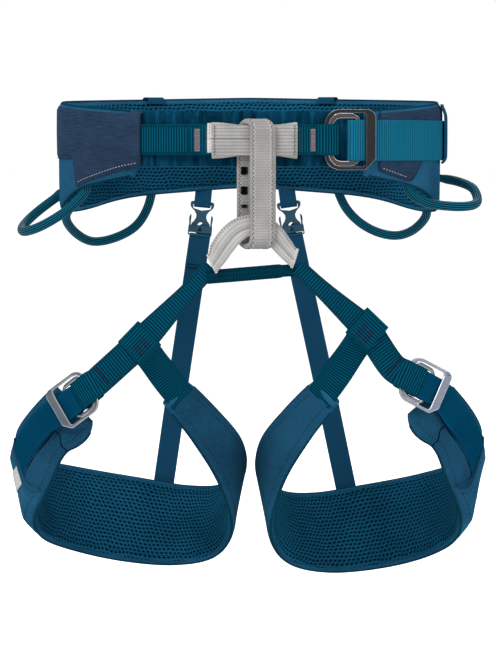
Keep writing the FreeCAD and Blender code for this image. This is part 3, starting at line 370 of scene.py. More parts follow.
class Shade:
    """Builds a node material around one Principled shader."""

    def __init__(self, name, rough=0.6, metallic=0.0, sheen=0.0, spec=0.0, sheen_tint=(1, 1, 1)):
        self.material = bpy.data.materials.new(name)
        self.material.use_nodes = True
        self.tree = self.material.node_tree
        self.shader = self.tree.nodes["Principled BSDF"]
        settings = {"Roughness": rough, "Metallic": metallic, "Sheen Weight": sheen,
                    "Sheen Roughness": SHEEN_ROUGHNESS, "Sheen Tint": sheen_tint, "Specular IOR Level": spec}
        for socket, value in settings.items():
            self.put(self.shader.inputs[socket], value)
        coordinates = self.node("TexCoord")
        self.uv, self.place = coordinates.outputs["UV"], coordinates.outputs["Object"]
        self.u, self.v = self.node("SeparateXYZ", self.uv).outputs[:2]
        self.normal = None

    def put(self, socket, value):
        if isinstance(value, bpy.types.NodeSocket):
            self.tree.links.new(value, socket)
        else:
            socket.default_value = (*value, 1) if socket.type == "RGBA" else value

    def node(self, kind, *values, **settings):
        """New node with its properties set and its first inputs linked or filled."""
        node = self.tree.nodes.new("ShaderNode" + kind)
        for name, value in settings.items():
            setattr(node, name, value)
        for socket, value in zip(node.inputs, values):
            self.put(socket, value)
        return node

    def math(self, operation, first, second=0.0, third=0.0):
        return self.node("Math", first, second, third, operation=operation).outputs[0]

    def mul(self, first, second):
        return self.math("MULTIPLY", first, second)

    def add(self, first, second):
        return self.math("ADD", first, second)

    def sub(self, first, second):
        return self.math("SUBTRACT", first, second)

    def scale(self, value, factor, offset):
        return self.math("MULTIPLY_ADD", value, factor, offset)

    def power(self, value, exponent):
        return self.math("POWER", value, exponent)

    def ramp(self, value, low, high):
        """0 below low, 1 above high, smooth between."""
        return self.node("MapRange", value, low, high, interpolation_type="SMOOTHSTEP").outputs[0]

    def wave(self, value, pitch):
        """0 to 1 sine along a coordinate in metres."""
        return self.scale(self.math("SINE", self.scale(value, math.tau / pitch, 0.0)), 0.5, 0.5)

    def noise(self, scale, detail=2.0, vector=None, stretch=None):
        vector = vector or self.place
        if stretch:
            mapping = self.node("Mapping", vector)
            mapping.inputs["Scale"].default_value = stretch
            vector = mapping.outputs[0]
        node = self.node("TexNoise", vector)
        node.inputs["Scale"].default_value = scale
        node.inputs["Detail"].default_value = detail
        return node.outputs["Fac"]

    def mix(self, share, first, second):
        node = self.node("Mix", share, data_type="RGBA")
        for socket, value in zip([s for s in node.inputs if s.type == "RGBA"], (first, second)):
            self.put(socket, value)
        return [s for s in node.outputs if s.type == "RGBA"][0]

    def over(self, shade, mask, share, colour):
        """Lays a colour over a shade where the mask is 1."""
        return self.mix(self.mul(mask, share), shade, colour)

    def clouded(self, value, low, high, colour, dull, bright):
        """The colour, dulled where the value is low and brightened where it is high."""
        return self.mix(self.ramp(value, low, high), dark(colour, dull), dark(colour, bright))

    def bump(self, height, distance):
        node = self.node("Bump")
        values = {"Strength": 1.0, "Distance": distance, "Height": height}
        for socket, value in values.items():
            self.put(node.inputs[socket], value)
        if self.normal:
            self.tree.links.new(self.normal, node.inputs["Normal"])
        self.normal = node.outputs[0]

    def done(self, colour, rough=None):
        self.put(self.shader.inputs["Base Color"], colour)
        if rough is not None:
            self.put(self.shader.inputs["Roughness"], rough)
        if self.normal:
            self.tree.links.new(self.normal, self.shader.inputs["Normal"])
        return self.material


def dark(colour, share):
    return tuple(c * share for c in colour)


def woven(name, colour, light=1.35, pitch=0.00055, wrinkle=0.0, sheen=0.03, rough=0.62, gather=0.0):
    """Close plain weave with slow colour changes; wrinkle and gather in metres; gather also paints highlight on the
    fold crests and shade in the fold hollows.
    """
    s = Shade(name, rough=rough, sheen=sheen, sheen_tint=(0.2, 0.6, 0.9))
    threads = s.mul(s.wave(s.u, pitch), s.wave(s.v, pitch))
    cloud = s.noise(18, 3)
    fleck = s.noise(900, 2)
    tint = s.clouded(cloud, 0.3, 0.7, colour, 0.78, light * 0.95)
    tint = s.over(tint, s.ramp(fleck, 0.45, 0.75), 0.5, dark(colour, light * 1.5))
    tint = s.over(tint, threads, 0.35, dark(colour, 0.5))
    if wrinkle:
        s.bump(s.noise(26, 3, stretch=(1, 1, 1.8)), wrinkle)
    if gather:
        fold_relief_and_painted_light = s.noise(1, 3, vector=s.uv, stretch=(210, 26, 1))
        # painted highlight on the fold crests and painted shade in the fold hollows; the same noise also bumps the
        # surface below
        tint = s.mix(s.ramp(fold_relief_and_painted_light, 0.50, 0.68), tint, dark(colour, 1.9))
        tint = s.mix(s.ramp(fold_relief_and_painted_light, 0.46, 0.32), tint, dark(colour, 0.5))
        s.bump(fold_relief_and_painted_light, gather)
    s.bump(threads, 0.00012)
    return s.done(tint, s.scale(cloud, 0.16, rough - 0.08))


def webbing(name, colour, pitch=0.0016, half=0.012, contrast=0.6, sheen=0.015, bright=1.7, depth=0.00035):
    """Flat webbing with ribs across it and a tighter selvedge; its colour is painted darker between the ribs as shade
    and lighter on their crowns as highlight.
    """
    s = Shade(name, rough=0.5, sheen=sheen, sheen_tint=(0.1, 0.7, 0.9))
    sway = s.scale(s.noise(60, 2, vector=s.uv), 0.0004, s.u)
    crown = s.power(s.wave(sway, pitch), 0.6)
    cross = s.wave(s.v, 0.0011)
    selvedge = s.ramp(s.math("ABSOLUTE", s.v), half - 0.0022, half - 0.0014)
    fine = s.wave(s.u, pitch * 0.5)
    height = s.add(s.mul(crown, s.sub(1.0, selvedge)), s.mul(s.mul(fine, 0.5), selvedge))
    # painted shade between the ribs and painted highlight on their crowns, following the rib height; contrast and
    # bright set their strength
    shade = s.mix(crown, dark(colour, max(0.08, 1 - 1.5 * contrast)), dark(colour, 1 + (bright - 1) * 1.7))
    shade = s.over(shade, cross, 0.3, dark(colour, 0.6))
    shade = s.over(shade, selvedge, 0.75, dark(colour, 1.15))
    shade = s.over(shade, s.ramp(s.noise(22, 3), 0.45, 0.8), 0.4, dark(colour, 0.7))
    s.bump(height, depth)
    s.bump(s.noise(1500, 2), 0.00008)
    return s.done(shade, s.scale(crown, -0.1, 0.6))


def spacer_mesh(name, colour, hole_painted_shade, pitch=0.0042, drop=0.0029, size=0.36):
    """Knitted spacer mesh: staggered oval holes with a soft raised rim; the holes are painted a near-black colour that
    stands in for the shade inside them.
    """
    s = Shade(name, rough=0.68, sheen=0.04, sheen_tint=(0.1, 0.6, 0.9))
    warp = s.sub(s.noise(60, 2, vector=s.uv), 0.5)
    row = s.scale(warp, 1.3, s.math("DIVIDE", s.v, drop))
    parity = s.math("FLOORED_MODULO", s.math("FLOOR", row), 2.0)
    column = s.scale(parity, 0.5, s.scale(warp, -1.1, s.math("DIVIDE", s.u, pitch)))
    wobble = s.noise(700, 1, vector=s.uv)
    x, y = (s.sub(s.math("FRACT", value), 0.5) for value in (column, row))
    x = s.scale(y, 0.45, x)
    far = s.math("SQRT", s.add(s.power(s.mul(x, 1.0), 2.0), s.power(s.mul(y, 1.25), 2.0)))
    solid = s.ramp(s.scale(wobble, 0.05, far), size - 0.10, size + 0.05)
    knit = s.mul(s.wave(s.u, 0.0008), s.wave(s.v, 0.0006))
    yarn = s.over(s.clouded(s.noise(14, 3), 0.3, 0.7, colour, 0.72, 1.4), knit, 0.5, dark(colour, 2.0))
    s.bump(solid, 0.0008)
    s.bump(knit, 0.00012)
    # the holes get the painted shade colour, the yarn between them its own colour
    return s.done(s.mix(solid, hole_painted_shade, yarn))


def ribbed(name, colour, pitch=0.00075, contrast=0.25):
    """Stretch panel fabric with fine ribs along it."""
    s = Shade(name, rough=0.6, sheen=0.05, sheen_tint=(0.4, 0.6, 0.9))
    rib = s.wave(s.scale(s.noise(40, 2, vector=s.uv), 0.0003, s.v), pitch)
    cloud = s.noise(16, 3, stretch=(1, 1, 2.5))
    streak = s.noise(1, 2, vector=s.uv, stretch=(90, 1400, 1))
    shade = s.over(s.clouded(cloud, 0.3, 0.72, colour, 0.82, 1.22), rib, contrast, dark(colour, 2.1))
    shade = s.over(shade, s.ramp(streak, 0.5, 0.72), 0.65, dark(colour, 0.42))
    shade = s.over(shade, s.ramp(streak, 0.44, 0.28), 0.5, dark(colour, 2.2))
    s.bump(rib, 0.00016)
    s.bump(s.noise(20, 2), 0.0006)
    return s.done(shade)


def load_webbing(name, colour, half, zigzag=True, ribs=0.0022, along=0.4, across=0.55):
    """Pale structural webbing: lengthwise yarns, and a zigzag of thread down each edge."""
    s = Shade(name, rough=0.72, sheen=0.05)
    yarn = s.power(s.wave(s.v, ribs), 3.0)
    tick = s.power(s.wave(s.scale(s.noise(90, 2, vector=s.uv), 0.0008, s.u), 0.0021), 3.0)
    shade = s.clouded(s.noise(45, 4), 0.3, 0.75, colour, 0.82, 1.12)
    shade = s.over(shade, yarn, along, dark(colour, 0.42))
    shade = s.over(shade, tick, across, dark(colour, 0.5))
    height = s.mul(s.add(yarn, tick), -0.3)
    if zigzag:
        swing = s.mul(s.math("PINGPONG", s.u, 0.0016), 1.25)
        line = s.sub(s.math("ABSOLUTE", s.v), s.add(swing, half - 0.0047))
        strand = s.sub(1.0, s.ramp(s.math("ABSOLUTE", line), 0.0003, 0.0008))
        shadow = s.sub(1.0, s.ramp(s.math("ABSOLUTE", s.sub(line, 0.0010)), 0.0003, 0.0009))
        shade = s.over(shade, strand, 0.7, dark(colour, 1.7))
        shade = s.over(shade, shadow, 0.8, dark(colour, 0.25))
        height = s.add(height, strand)
    s.bump(height, 0.0003)
    s.bump(s.noise(1300, 2), 0.0001)
    return s.done(shade)


def cord_tube(name, colour, stripes):
    """Sheathed tube with fine lengthwise stripes."""
    s = Shade(name, rough=0.45, spec=0.02)
    stripe = s.wave(s.v, 1 / 14)
    braid = s.wave(s.u, 0.0013)
    shade = s.over(s.mix(s.power(stripe, 1.5), dark(colour, 0.08), stripes), braid, 0.22, dark(colour, 0.5))
    s.bump(stripe, 0.00025)
    s.bump(braid, 0.0001)
    return s.done(shade, s.scale(s.noise(40, 3), 0.2, 0.3))


def metal(name, colour, rough=0.32, metallic=1.0, wear=None, spec=0.5):
    """Satin metal with fine handling marks and brighter worn high spots."""
    s = Shade(name, rough=rough, metallic=metallic, spec=spec)
    smear = s.noise(60, 4)
    shade = s.clouded(smear, 0.35, 0.75, colour, 0.85, 1.12)
    if wear:
        shade = s.over(shade, s.ramp(s.noise(240, 4), 0.62, 0.72), 0.6, wear)
    s.bump(s.noise(420, 3, stretch=(1, 5, 1)), 0.00004)
    return s.done(shade, s.scale(smear, 0.18, rough - 0.08))


def moulded(name, colour, rough=0.4):
    s = Shade(name, rough=rough, spec=0.3)
    cloud = s.noise(70, 3)
    s.bump(s.noise(1600, 2), 0.00005)
    return s.done(s.clouded(cloud, 0.3, 0.75, colour, 0.85, 1.25), s.scale(cloud, 0.16, rough - 0.06))


def thread(name, colour):
    s = Shade(name, rough=0.6)
    twist = s.wave(s.add(s.u, s.mul(s.v, 0.0008)), 0.0007)
    s.bump(twist, 0.00012)
    return s.done(s.mix(twist, dark(colour, 0.6), colour))


FABRIC = woven("outer_fabric", (0.0062, 0.036, 0.070), wrinkle=0.0007)
FABRIC_LIGHT = woven("side_fabric", (0.0085, 0.048, 0.092), wrinkle=0.0006)
# the front pad's gathers paint highlight and shade into its colour as well as bumping it
PAD_FABRIC = woven("front_pad_fabric", (0.0012, 0.020, 0.040), gather=0.0011, wrinkle=0.0005)
# its last colour is the painted shade inside the mesh holes
MESH = spacer_mesh("mesh_lining", (0.0030, 0.034, 0.066), (0.0002, 0.003, 0.007))
HIP = ribbed("hip_panel_fabric", (0.0105, 0.021, 0.041), contrast=0.3)
BINDING = woven("edge_binding", (0.0018, 0.020, 0.038), pitch=0.0009)
WEB_FRONT = webbing("webbing_front", (0.0006, 0.023, 0.040), half=0.0125, pitch=0.0023)
WEB_TAIL = webbing("webbing_tail", (0.0040, 0.062, 0.105), half=0.0165, pitch=0.0021, contrast=0.34, bright=1.35)
WEB_LEG = webbing("webbing_leg", (0.0006, 0.022, 0.039), half=0.012, pitch=0.0024, contrast=0.62)
WEB_LEG_TAIL = webbing("webbing_leg_tail", (0.0006, 0.028, 0.060), half=0.0105, pitch=0.0018, contrast=0.25,
                       bright=1.2, sheen=0.0)
RISER = webbing("riser_webbing", (0.0045, 0.030, 0.062), half=0.0092, pitch=0.0009, contrast=0.12, bright=1.2,
                depth=0.0001)
BRIDGE_WEB = webbing("bridge_webbing", (0.0006, 0.015, 0.026), half=0.006, pitch=0.0012, contrast=0.35, bright=1.6)
PALE = load_webbing("tie_in_webbing", (0.196, 0.193, 0.187), 0.0104, along=0.12, across=0.5)
PALE_PLAIN = load_webbing("tie_in_webbing_plain", (0.285, 0.282, 0.276), 0.011, zigzag=False, ribs=0.0027,
                          along=0.5, across=0.22)
PALE_SLEEVE = load_webbing("tie_in_sleeve", (0.225, 0.222, 0.216), 0.011, zigzag=False, ribs=0.0027,
                           along=0.6, across=0.2)
PALE_TIP = load_webbing("tie_in_webbing_fold", (0.360, 0.350, 0.345), 0.011, zigzag=False)
TUBE = cord_tube("gear_loop_tube", (0.0006, 0.016, 0.030), (0.002, 0.095, 0.155))
BLACK_METAL = metal("black_frame", (0.003, 0.003, 0.004), rough=0.3, metallic=0.0, spec=0.14)
GREY_METAL = metal("dark_ring", (0.030, 0.027, 0.026), rough=0.34)
# edge materials for the bevels: brighter than the faces they border, they paint highlights along the rounded edges; the
# ring's edge material is also smoother
BRIGHT_EDGE = metal("bright_edge", (0.42, 0.39, 0.39), rough=0.2)
DIM_EDGE = metal("dim_edge", (0.13, 0.12, 0.125), rough=0.25)
FRAME_EDGE_HIGHLIGHT = metal("worn_edge", (0.24, 0.255, 0.28), rough=0.33)
POLISH_AND_EDGE_HIGHLIGHT = metal("polished_metal", (0.27, 0.265, 0.27), rough=0.14)
SILVER = metal("satin_metal", (0.105, 0.120, 0.148), rough=0.4, wear=(0.2, 0.21, 0.23))
PLASTIC = moulded("clip_plastic", (0.0012, 0.030, 0.056))
PINK = thread("pink_thread", (0.26, 0.19, 0.205))
GREY_THREAD = thread("grey_thread", (0.05, 0.05, 0.05))
PURPLE = thread("dark_thread", (0.022, 0.008, 0.028))
WHITE_THREAD = thread("white_thread", (0.30, 0.32, 0.33))
DARK_THREAD = thread("seam_thread", (0.0004, 0.004, 0.009))
BLACK_MARK = thread("black_mark", (0.004, 0.004, 0.005))
TAG = woven("woven_tag", (0.26, 0.26, 0.26), pitch=0.0005)


# ------------------------------------------------------------------ waist belt

HALF_X, HALF_Y = 148.0, 92.0            # inner ellipse of the belt
BELT_TOP = ((0, 22.0), (35, 22.0), (90, 31.0), (180, 36.0))                # (angle from the front, height)
BELT_BOTTOM = ((0, -22.7), (35, -27.5), (63, -38.5), (76, -51.0), (90, -59.0), (115, -60.0),
               (138, -48.0), (180, -40.0))
SPLIT = 38.0                            # angle where the front pad meets the padded belt
SHELL, PANEL = 11.3, 12.8               # how far the shell and the hip panels stand off that ellipse
FRONT_LOW, LOW_EDGE = -20.6, -14.8      # lower edges of the front pad and of the panels' level run
PANEL_END = 118                         # angle where a hip panel ends
STEPS = {"right": (62.5, 64.6), "left": (54.5, 63.5)}      # angles over which a panel's lower edge steps up
FACE_ROWS, EDGE_ROWS, WRAP = 18, 4, 2   # rows across a pad's face, round its rim, and of fabric turned in
KEEPER_ANGLE = 83


def eased(stops, angle):
    """Smooth version of the belt's edge heights."""
    return sum(interpolate(stops, min(180, max(0, abs(angle) + shift))) for shift in (-8, -4, 0, 4, 8)) / 5


def belt_top(angle):
    return eased(BELT_TOP, angle)


def belt_bottom(angle):
    return eased(BELT_BOTTOM, angle)


def belt_point(angle, offset, height):
    turn = math.radians(angle)
    return Vector(((HALF_X + offset) * math.sin(turn), -(HALF_Y + offset) * math.cos(turn), height))


def belt_normal(angle):
    turn = math.radians(angle)
    return Vector((HALF_Y * math.sin(turn), -HALF_X * math.cos(turn), 0)).normalized()


def belt_length(angles, offset=6.0):
    return lengths([belt_point(a, offset, 0) for a in angles])


def belt_line(angles, offset, height, facing=1):
    """Points round the belt and the way they face; offset and height may be functions of the angle."""
    def at(value, angle):
        return value(angle) if callable(value) else value

    return ([belt_point(a, at(offset, a), at(height, a)) for a in angles],
            [belt_normal(a) * facing for a in angles])


def belt_row(angle, offset, low, high, count):
    """The same, up the belt at one angle."""
    return [belt_point(angle, offset, h) for h in spread(low, high, count)], belt_normal(angle)


def down_axes(angle, points, step):
    """Axes of a strap that runs up or down the belt at one angle."""
    path = resample([belt_point(angle, offset, height) for offset, height in points], step)
    side_way = Vector((0, 0, 1)).cross(belt_normal(angle))
    return [Axes(point, travel(path, i), travel(path, i).cross(side_way) * -1) for i, point in enumerate(path)]


def around(angle):
    return angle - 360 if angle > 180 else angle


def pad_outline(low, high, inner, outer, crown_out=0.6, crown_in=0.8, edge=1.2, pinch=15.0, drop=1.6):
    """Closed outline of a sewn pad: (across, outward, v in metres), from the low outer edge round.

    The outer face runs nearly flat to thin sewn edges; the inner face rises to meet them."""
    rim = outer - drop - edge
    outline = []

    def near(across, reach):
        return min(1.0, max(0.0, min(across - low, high - across)) / reach)

    def turn_round(corner, start, beyond):
        for k in range(1, EDGE_ROWS):
            turn = start - math.pi * k / EDGE_ROWS
            outline.append((corner + edge * 0.8 * math.cos(turn), rim + edge * math.sin(turn), (corner + beyond) * MM))

    shares = [(1 - math.cos(math.pi * k / FACE_ROWS)) / 2 for k in range(FACE_ROWS + 1)]
    for share in shares:
        across = low + (high - low) * share
        level = rim + edge + drop * math.sqrt(1 - (1 - near(across, 7.0)) ** 2)
        outline.append((across, level + crown_out * math.sin(math.pi * share), across * MM))
    turn_round(high, math.pi / 2, 1)
    for k, share in enumerate(shares):
        across = high - (high - low) * share
        pinched = near(across, pinch)
        level = rim - edge - (rim - edge - inner) * pinched * (2 - pinched)
        lift = 0.35 if k in (WRAP, FACE_ROWS - WRAP) else 0.0
        outline.append((across, level - crown_in * math.sin(math.pi * share) + lift, across * MM))
    turn_round(low, -math.pi / 2, -1)
    return outline


def pad_slot(i, j):
    """1 for the mesh on a pad's inner face, 0 for its fabric."""
    return int(FACE_ROWS + EDGE_ROWS + WRAP <= j < 2 * FACE_ROWS + EDGE_ROWS - WRAP)


def soft_belt(name, fabric, angles, rows, outline, replaces):
    """Closes a pad of the belt; the mesh pattern follows the true height, so that its holes run level."""
    surface = Surface()
    surface.tube(rows, belt_length(angles), v_of(outline), pad_slot)
    surface.level_uvs(slot=1)
    surface.build(name, [fabric, MESH], "belt", replaces, "outer_fabric")


def belt_pad():
    """The long padded part behind the hips, from one front seam round to the other."""
    angles = spread(SPLIT - 1.2, 360 - SPLIT + 1.2, 190)
    rng = random.Random(5)
    ripple = [rng.uniform(-1, 1) for _ in range(60)]
    rows = []
    for index, angle in enumerate(angles):
        low, high = belt_bottom(around(angle)), belt_top(around(angle))
        thin = 0.55 - 0.55 * rounded(min(index, len(angles) - 1 - index) / 5)
        outline = pad_outline(low, high, 0.2 + thin * 3, SHELL - thin * 3, 0.35 * smooth(ripple, index / 4), 0.8)
        rows.append([belt_point(angle, o, a) for a, o, _ in outline])
    soft_belt("waist_pad", FABRIC_LIGHT, angles, rows, pad_outline(-45, 33, 0, SHELL),
              ("waist_mesh_lining", "waist_foam_core", "waist_outer_shell", "waist_webbing_rear"))


def front_pad():
    """Thin padded bridge behind the buckle, gathered along its seams."""
    angles = spread(-SPLIT - 1.2, SPLIT + 1.2, 110)
    rng = random.Random(11)
    pucker = [rng.uniform(-1, 1) for _ in range(120)]
    rows = []
    for index, angle in enumerate(angles):
        low, high = FRONT_LOW, belt_top(angle)
        squeeze = 0.5 + 0.5 * rounded(min(index, len(angles) - 1 - index) / 4)
        outline = pad_outline(low, high, 0.3, 0.3 + 5.6 * squeeze, 0.5, 0.3, edge=0.9, pinch=9.0, drop=1.0)
        row = []
        for k, (across, outward, _) in enumerate(outline):
            near = max(0, min(across - low, high - across))
            depth = 0.55 * math.exp(-near / 6.5) * smooth(pucker, index / 1.6)
            row.append(belt_point(angle, outward + (depth if k <= FACE_ROWS else 0), across))
        rows.append(row)
    soft_belt("waist_front_pad_soft", PAD_FABRIC, angles, rows, pad_outline(-24, 22, 0, 5.5),
              ("waist_front_pad",))


def panel_low(angle, side):
    """Lower edge of a hip panel: diagonal at the front, a steep step, then level."""
    angle = abs(angle)
    first, last = STEPS[side]
    front = belt_bottom(angle) + 1.6 + 5.0 * smoothstep(first, 33, angle)
    share = smoothstep(first - 0.4, last + 0.4, angle)
    return front * (1 - share) + LOW_EDGE * share


def hip_panel(side, front_angle):
    sign = -1 if side == "right" else 1
    first, last = STEPS[side]
    angles = spread(front_angle, first - 0.6, 26) + spread(first - 0.5, last + 0.5, 10) \
        + spread(last + 1, PANEL_END, 40)
    rows, count = [], 16
    for angle in angles:
        low, high = panel_low(angle, side), belt_top(angle) + 0.3
        outer, inner = [], []
        for k in range(count + 1):
            share = k / count
            height = low + (high - low) * share
            near = min(height - low, high - height, (angle - front_angle) * 2.2, (PANEL_END - angle) * 2.2)
            roll = 3.5 * smoothstep(5, 0, high - height)
            lift = PANEL + 0.25 - 0.95 * (1 - smoothstep(0, 2.6, near)) - roll + 0.35 * math.sin(math.pi * share)
            outer.append(belt_point(sign * angle, lift, height))
            inner.append(belt_point(sign * angle, max(PANEL - 2.6 - (3.2 if k == count else 0), 7.0), height))
        rows.append(outer + inner[::-1])
    us = belt_length(angles, PANEL)
    vs = [k / count * 0.06 for k in range(count + 1)]
    surface = Surface()
    surface.tube(rows, us, vs + vs[::-1] + [0.0])
    surface.level_uvs()
    panel = surface.build(f"{side}_hip_panel_fabric", [HIP], "belt", (f"{side}_hip_panel",), "hip_fabric")
    # edge roll down the front and along the lower edge, then the thread lines beside it
    edge = [belt_point(sign * front_angle, PANEL - 0.6, h)
            for h in spread(belt_top(front_angle), panel_low(front_angle, side), 12)]
    edge += [belt_point(sign * a, PANEL - 0.6, panel_low(a, side)) for a in angles[1:] if a <= last + 0.5]
    edge += [belt_point(sign * a, PANEL - 0.6, LOW_EDGE) for a in spread(last + 2, PANEL_END, 24)]
    piping("belt", f"{side}_hip_panel_edge", HIP, resample(edge, 1.5), 0.62, "hip_fabric")
    slant = [sign * a for a in spread(front_angle + 1.0, first - 1.5, 30)]
    level = [sign * a for a in spread(last + 2, 116, 40)]
    slanted = belt_line(slant, PANEL + 0.05, lambda a: panel_low(a, side) + 2.6)
    stitches("belt", f"{side}_hip_panel_stitching", WHITE_THREAD, [(*slanted, 1.7, 1.2, 0.36)], "pink_thread")
    stitches("belt", f"{side}_hip_panel_level_stitching", DARK_THREAD,
             [(*belt_line(level, PANEL + 0.05, LOW_EDGE + 2.2), 1.6, 1.0, 0.26)])


def belt_seams():
    """Binding along the belt's edges and thread beside it."""
    rear = spread(SPLIT, 360 - SPLIT, 150)
    front = spread(-SPLIT, SPLIT, 80)
    for label, edge, inward in (("top", belt_top, -3.4), ("bottom", belt_bottom, 3.2)):
        bound, _ = belt_line(rear, SHELL - 2.8, lambda a: edge(around(a)))
        piping("belt", f"waist_{label}_binding", BINDING, bound, 1.35)
        outside = belt_line(rear, SHELL - 0.9, lambda a: edge(around(a)) + inward)
        inside = belt_line(rear, 3.9, lambda a: edge(around(a)) + inward * 1.15, -1)
        stitches("belt", f"waist_{label}_stitching", DARK_THREAD,
                 [(*line, 2.0, 1.1, 0.26) for line in (outside, inside)])
    for label, edge, inward in (("top", belt_top, -0.6), ("bottom", lambda a: FRONT_LOW, 0.2)):
        bound, _ = belt_line(front, 3.1, lambda a: edge(a) + inward)
        piping("belt", f"front_pad_{label}_piping", FABRIC_LIGHT, bound, 1.25)
        line = belt_line(front, 5.6, lambda a: edge(a) + math.copysign(4.3, inward))
        stitches("belt", f"front_pad_{label}_stitching", DARK_THREAD, [(*line, 2.0, 1.1, 0.24)])


def tool_slot(side, angle):
    """Flat webbing down the belt with a folded top, for a clip-on tool holder."""
    top = belt_top(abs(angle)) + 1.2
    over = [(2.6, top - 4), (2.8, top), (7.0, top + 1.2), (11.6, top)]
    down = [(PANEL - 0.1, height) for height in spread(top - 6, belt_bottom(abs(angle)) + 2.5, 6)]
    surface = Surface()
    sweep(surface, down_axes(angle, over + down, 1.2), 7.6, 1.1)
    surface.build(f"{side}_tool_slot_webbing", [RISER], "belt", (f"{side}_tool_slot",), "trim_webbing")
    rows = [[belt_point(angle + w, PANEL + 0.45, height) for w in (-2.3, 0, 2.3)] for height in (top - 8, 4, -22)]
    stitches("belt", f"{side}_tool_slot_tacks", DARK_THREAD,
             [(row, belt_normal(angle), 1.2, 0.15, 0.5, 0.3) for row in rows])


belt_pad()
front_pad()
belt_seams()
hip_panel("right", 33.6)
hip_panel("left", 41.0)
tool_slot("right", -147.5)
tool_slot("left", 154.0)

# ------------------------------------------------------------------ waist buckle and its webbing

BUCKLE_ANGLE = 30.6
buckle_turn = math.radians(BUCKLE_ANGLE)
waist_buckle = Axes(belt_point(BUCKLE_ANGLE, 5.5, 0),
                    (math.cos(buckle_turn) * HALF_X, math.sin(buckle_turn) * HALF_Y, 0),
                    belt_point(BUCKLE_ANGLE, 1000, 0) - belt_point(BUCKLE_ANGLE, 0, 0))


def arc(centre_x, centre_y, radius, start, end, count):
    turns = [math.radians(turn) for turn in spread(start, end, count)]
    return [(centre_x + radius * math.cos(a), centre_y + radius * math.sin(a)) for a in turns]


class Buckle:
    """Levels of a double-back buckle's parts, in its strap's own axes."""

    def __init__(self, length, sewn, wide, ring_length, ring_band, plate, web):
        self.half, self.web, self.ring_band = length / 2, web, ring_band
        self.low = 0.4 + web / 2
        ring_high = 0.4 + web + 0.5 + plate
        reach = 2 * self.half - wide - sewn / 2
        lift = ring_high + 0.3 + web + 0.35 + plate / 2 - reach * math.sin(math.radians(6)) + 0.1
        self.fold_high = lift + math.hypot(sewn / 2, plate / 2) + 0.35 + web / 2
        self.ring_start = -self.half + sewn + 0.5
        self.bar_outer = self.ring_start + ring_length
        self.bar_inner = self.bar_outer - ring_band * 1.35
        self.over = ring_high + 0.3 + web / 2

    def fold(self, start, slack=0.0):
        """From under the bars, round them and back over to where the webbing is sewn."""
        nose = self.ring_start + self.ring_band + 0.6 + slack
        radius = (self.fold_high - 0.6 - self.low) / 2
        middle = (self.fold_high + self.low) / 2
        under = [(start + 1.0, middle - self.web * 0.8), (-self.half - 1.5, self.low)]
        turn = arc(nose, self.low + radius, radius, -90, 90, 8)
        back = [(-self.half + 5.0, self.fold_high - 0.1), (-self.half + 1.0, self.fold_high),
                (-self.half - 2.5, self.fold_high - 0.4), (start, middle)]
        return under + turn + back

    def tail(self, slack=0.0):
        """From below, round the ring's far bar and back over it."""
        radius = (self.over - self.low) / 2
        turn = arc(self.bar_inner - 0.6 - self.web / 2 + radius - slack, self.low + radius, radius, -90, -270, 8)
        return turn, (self.bar_outer + 1.0, self.over)


waist = Buckle(43.0, 3.3, 8.0, 29.3, 4.0, 2.4, 1.8)
# the front webbing's run through the tie-in sleeve: (angle, offset, half height)
FRONT_BOW = ((-45, 8.8, 12.4), (-38.5, 8.8, 12.4), (-33, 9.4, 12.4), (-27, 11.3, 12.4),
             (-22, 13.4, 12.4), (-17, 15.5, 12.4), (-12, 17.4, 12.4), (-7.5, 18.3, 11.8), (-3, 18.7, 10.1),
             (2, 18.7, 10.1), (8, 18.4, 10.3), (13, 16.0, 12.2), (17.5, 11.8, 12.4), (20.2, 10.6, 12.4))


def bow_offset(angle, lift=0.0):
    return interpolate([(a, o) for a, o, _ in FRONT_BOW], angle) + lift


def bow_height(angle):
    return interpolate([(a, h) for a, _, h in FRONT_BOW], angle)


def bow_line(start, end, height, count=24, lift=1.3):
    return belt_line(spread(start, end, count), lambda a: bow_offset(a, lift), height)


def bow_row(angle, half, lift=1.3, count=12):
    return belt_row(angle, bow_offset(angle, lift), -half, half, count)


def front_webbing():
    fold = [flat_point(waist_buckle.at(a, 0, o)) for a, o in waist.fold(-waist.half - 6.5)]
    path = resample(fold, 0.7)
    rear = [belt_point(a, bow_offset(a), 0)
            for a in (19.2, 15, 11, 7, 3, -1, -5, -9, -13, -17, -22, -27, -33, -39, -45)]
    frames = plan_axes(path + resample([path[-1]] + rear, 1.2)[1:])
    angles = [math.degrees(math.atan2(axes.origin.x / HALF_X, -axes.origin.y / HALF_Y)) for axes in frames]
    surface = Surface()
    sweep(surface, frames, [12.5 if angle > 20 else bow_height(angle) for angle in angles],
          [1.8 + 0.7 * smoothstep(21, 18, angle) for angle in angles])
    surface.build("waist_front_strap", [WEB_FRONT], "belt", ("waist_webbing_front",), "webbing")


def bow_stitches():
    """Thread lines along the front webbing: its edges, a box at one end, and rows by the tacks."""
    edges = [(*bow_line(start, end, height), 1.3, 0.9, 0.3)
             for height in (10.6, -10.6) for start, end in ((-38, -13.5), (13.5, 26))]
    box = [(*bow_row(angle, 10, count=8), 1.3, 0.8, 0.32) for angle in (-34.6, -33.6, -17.2)]
    stitches("belt", "front_strap_stitching", DARK_THREAD, edges + box)
    stitches("belt", "waist_tack_threads", PINK,
             [(*bow_row(angle + row, 9.4, 1.35), 1.1, 0.1, 0.42, 0.22)
              for angle in (-14.6, 18.4) for row in spread(-0.62, 0.62, 4)], "pink_thread", ("waist_bar_tacks",))
    stitches("belt", "sleeve_side_zigzag", GREY_THREAD,
             [(*bow_row(angle, 10.4, 1.4), 1.5, 0.5, 0.36, 0.5) for angle in (13.9, 14.7)], "pink_thread")


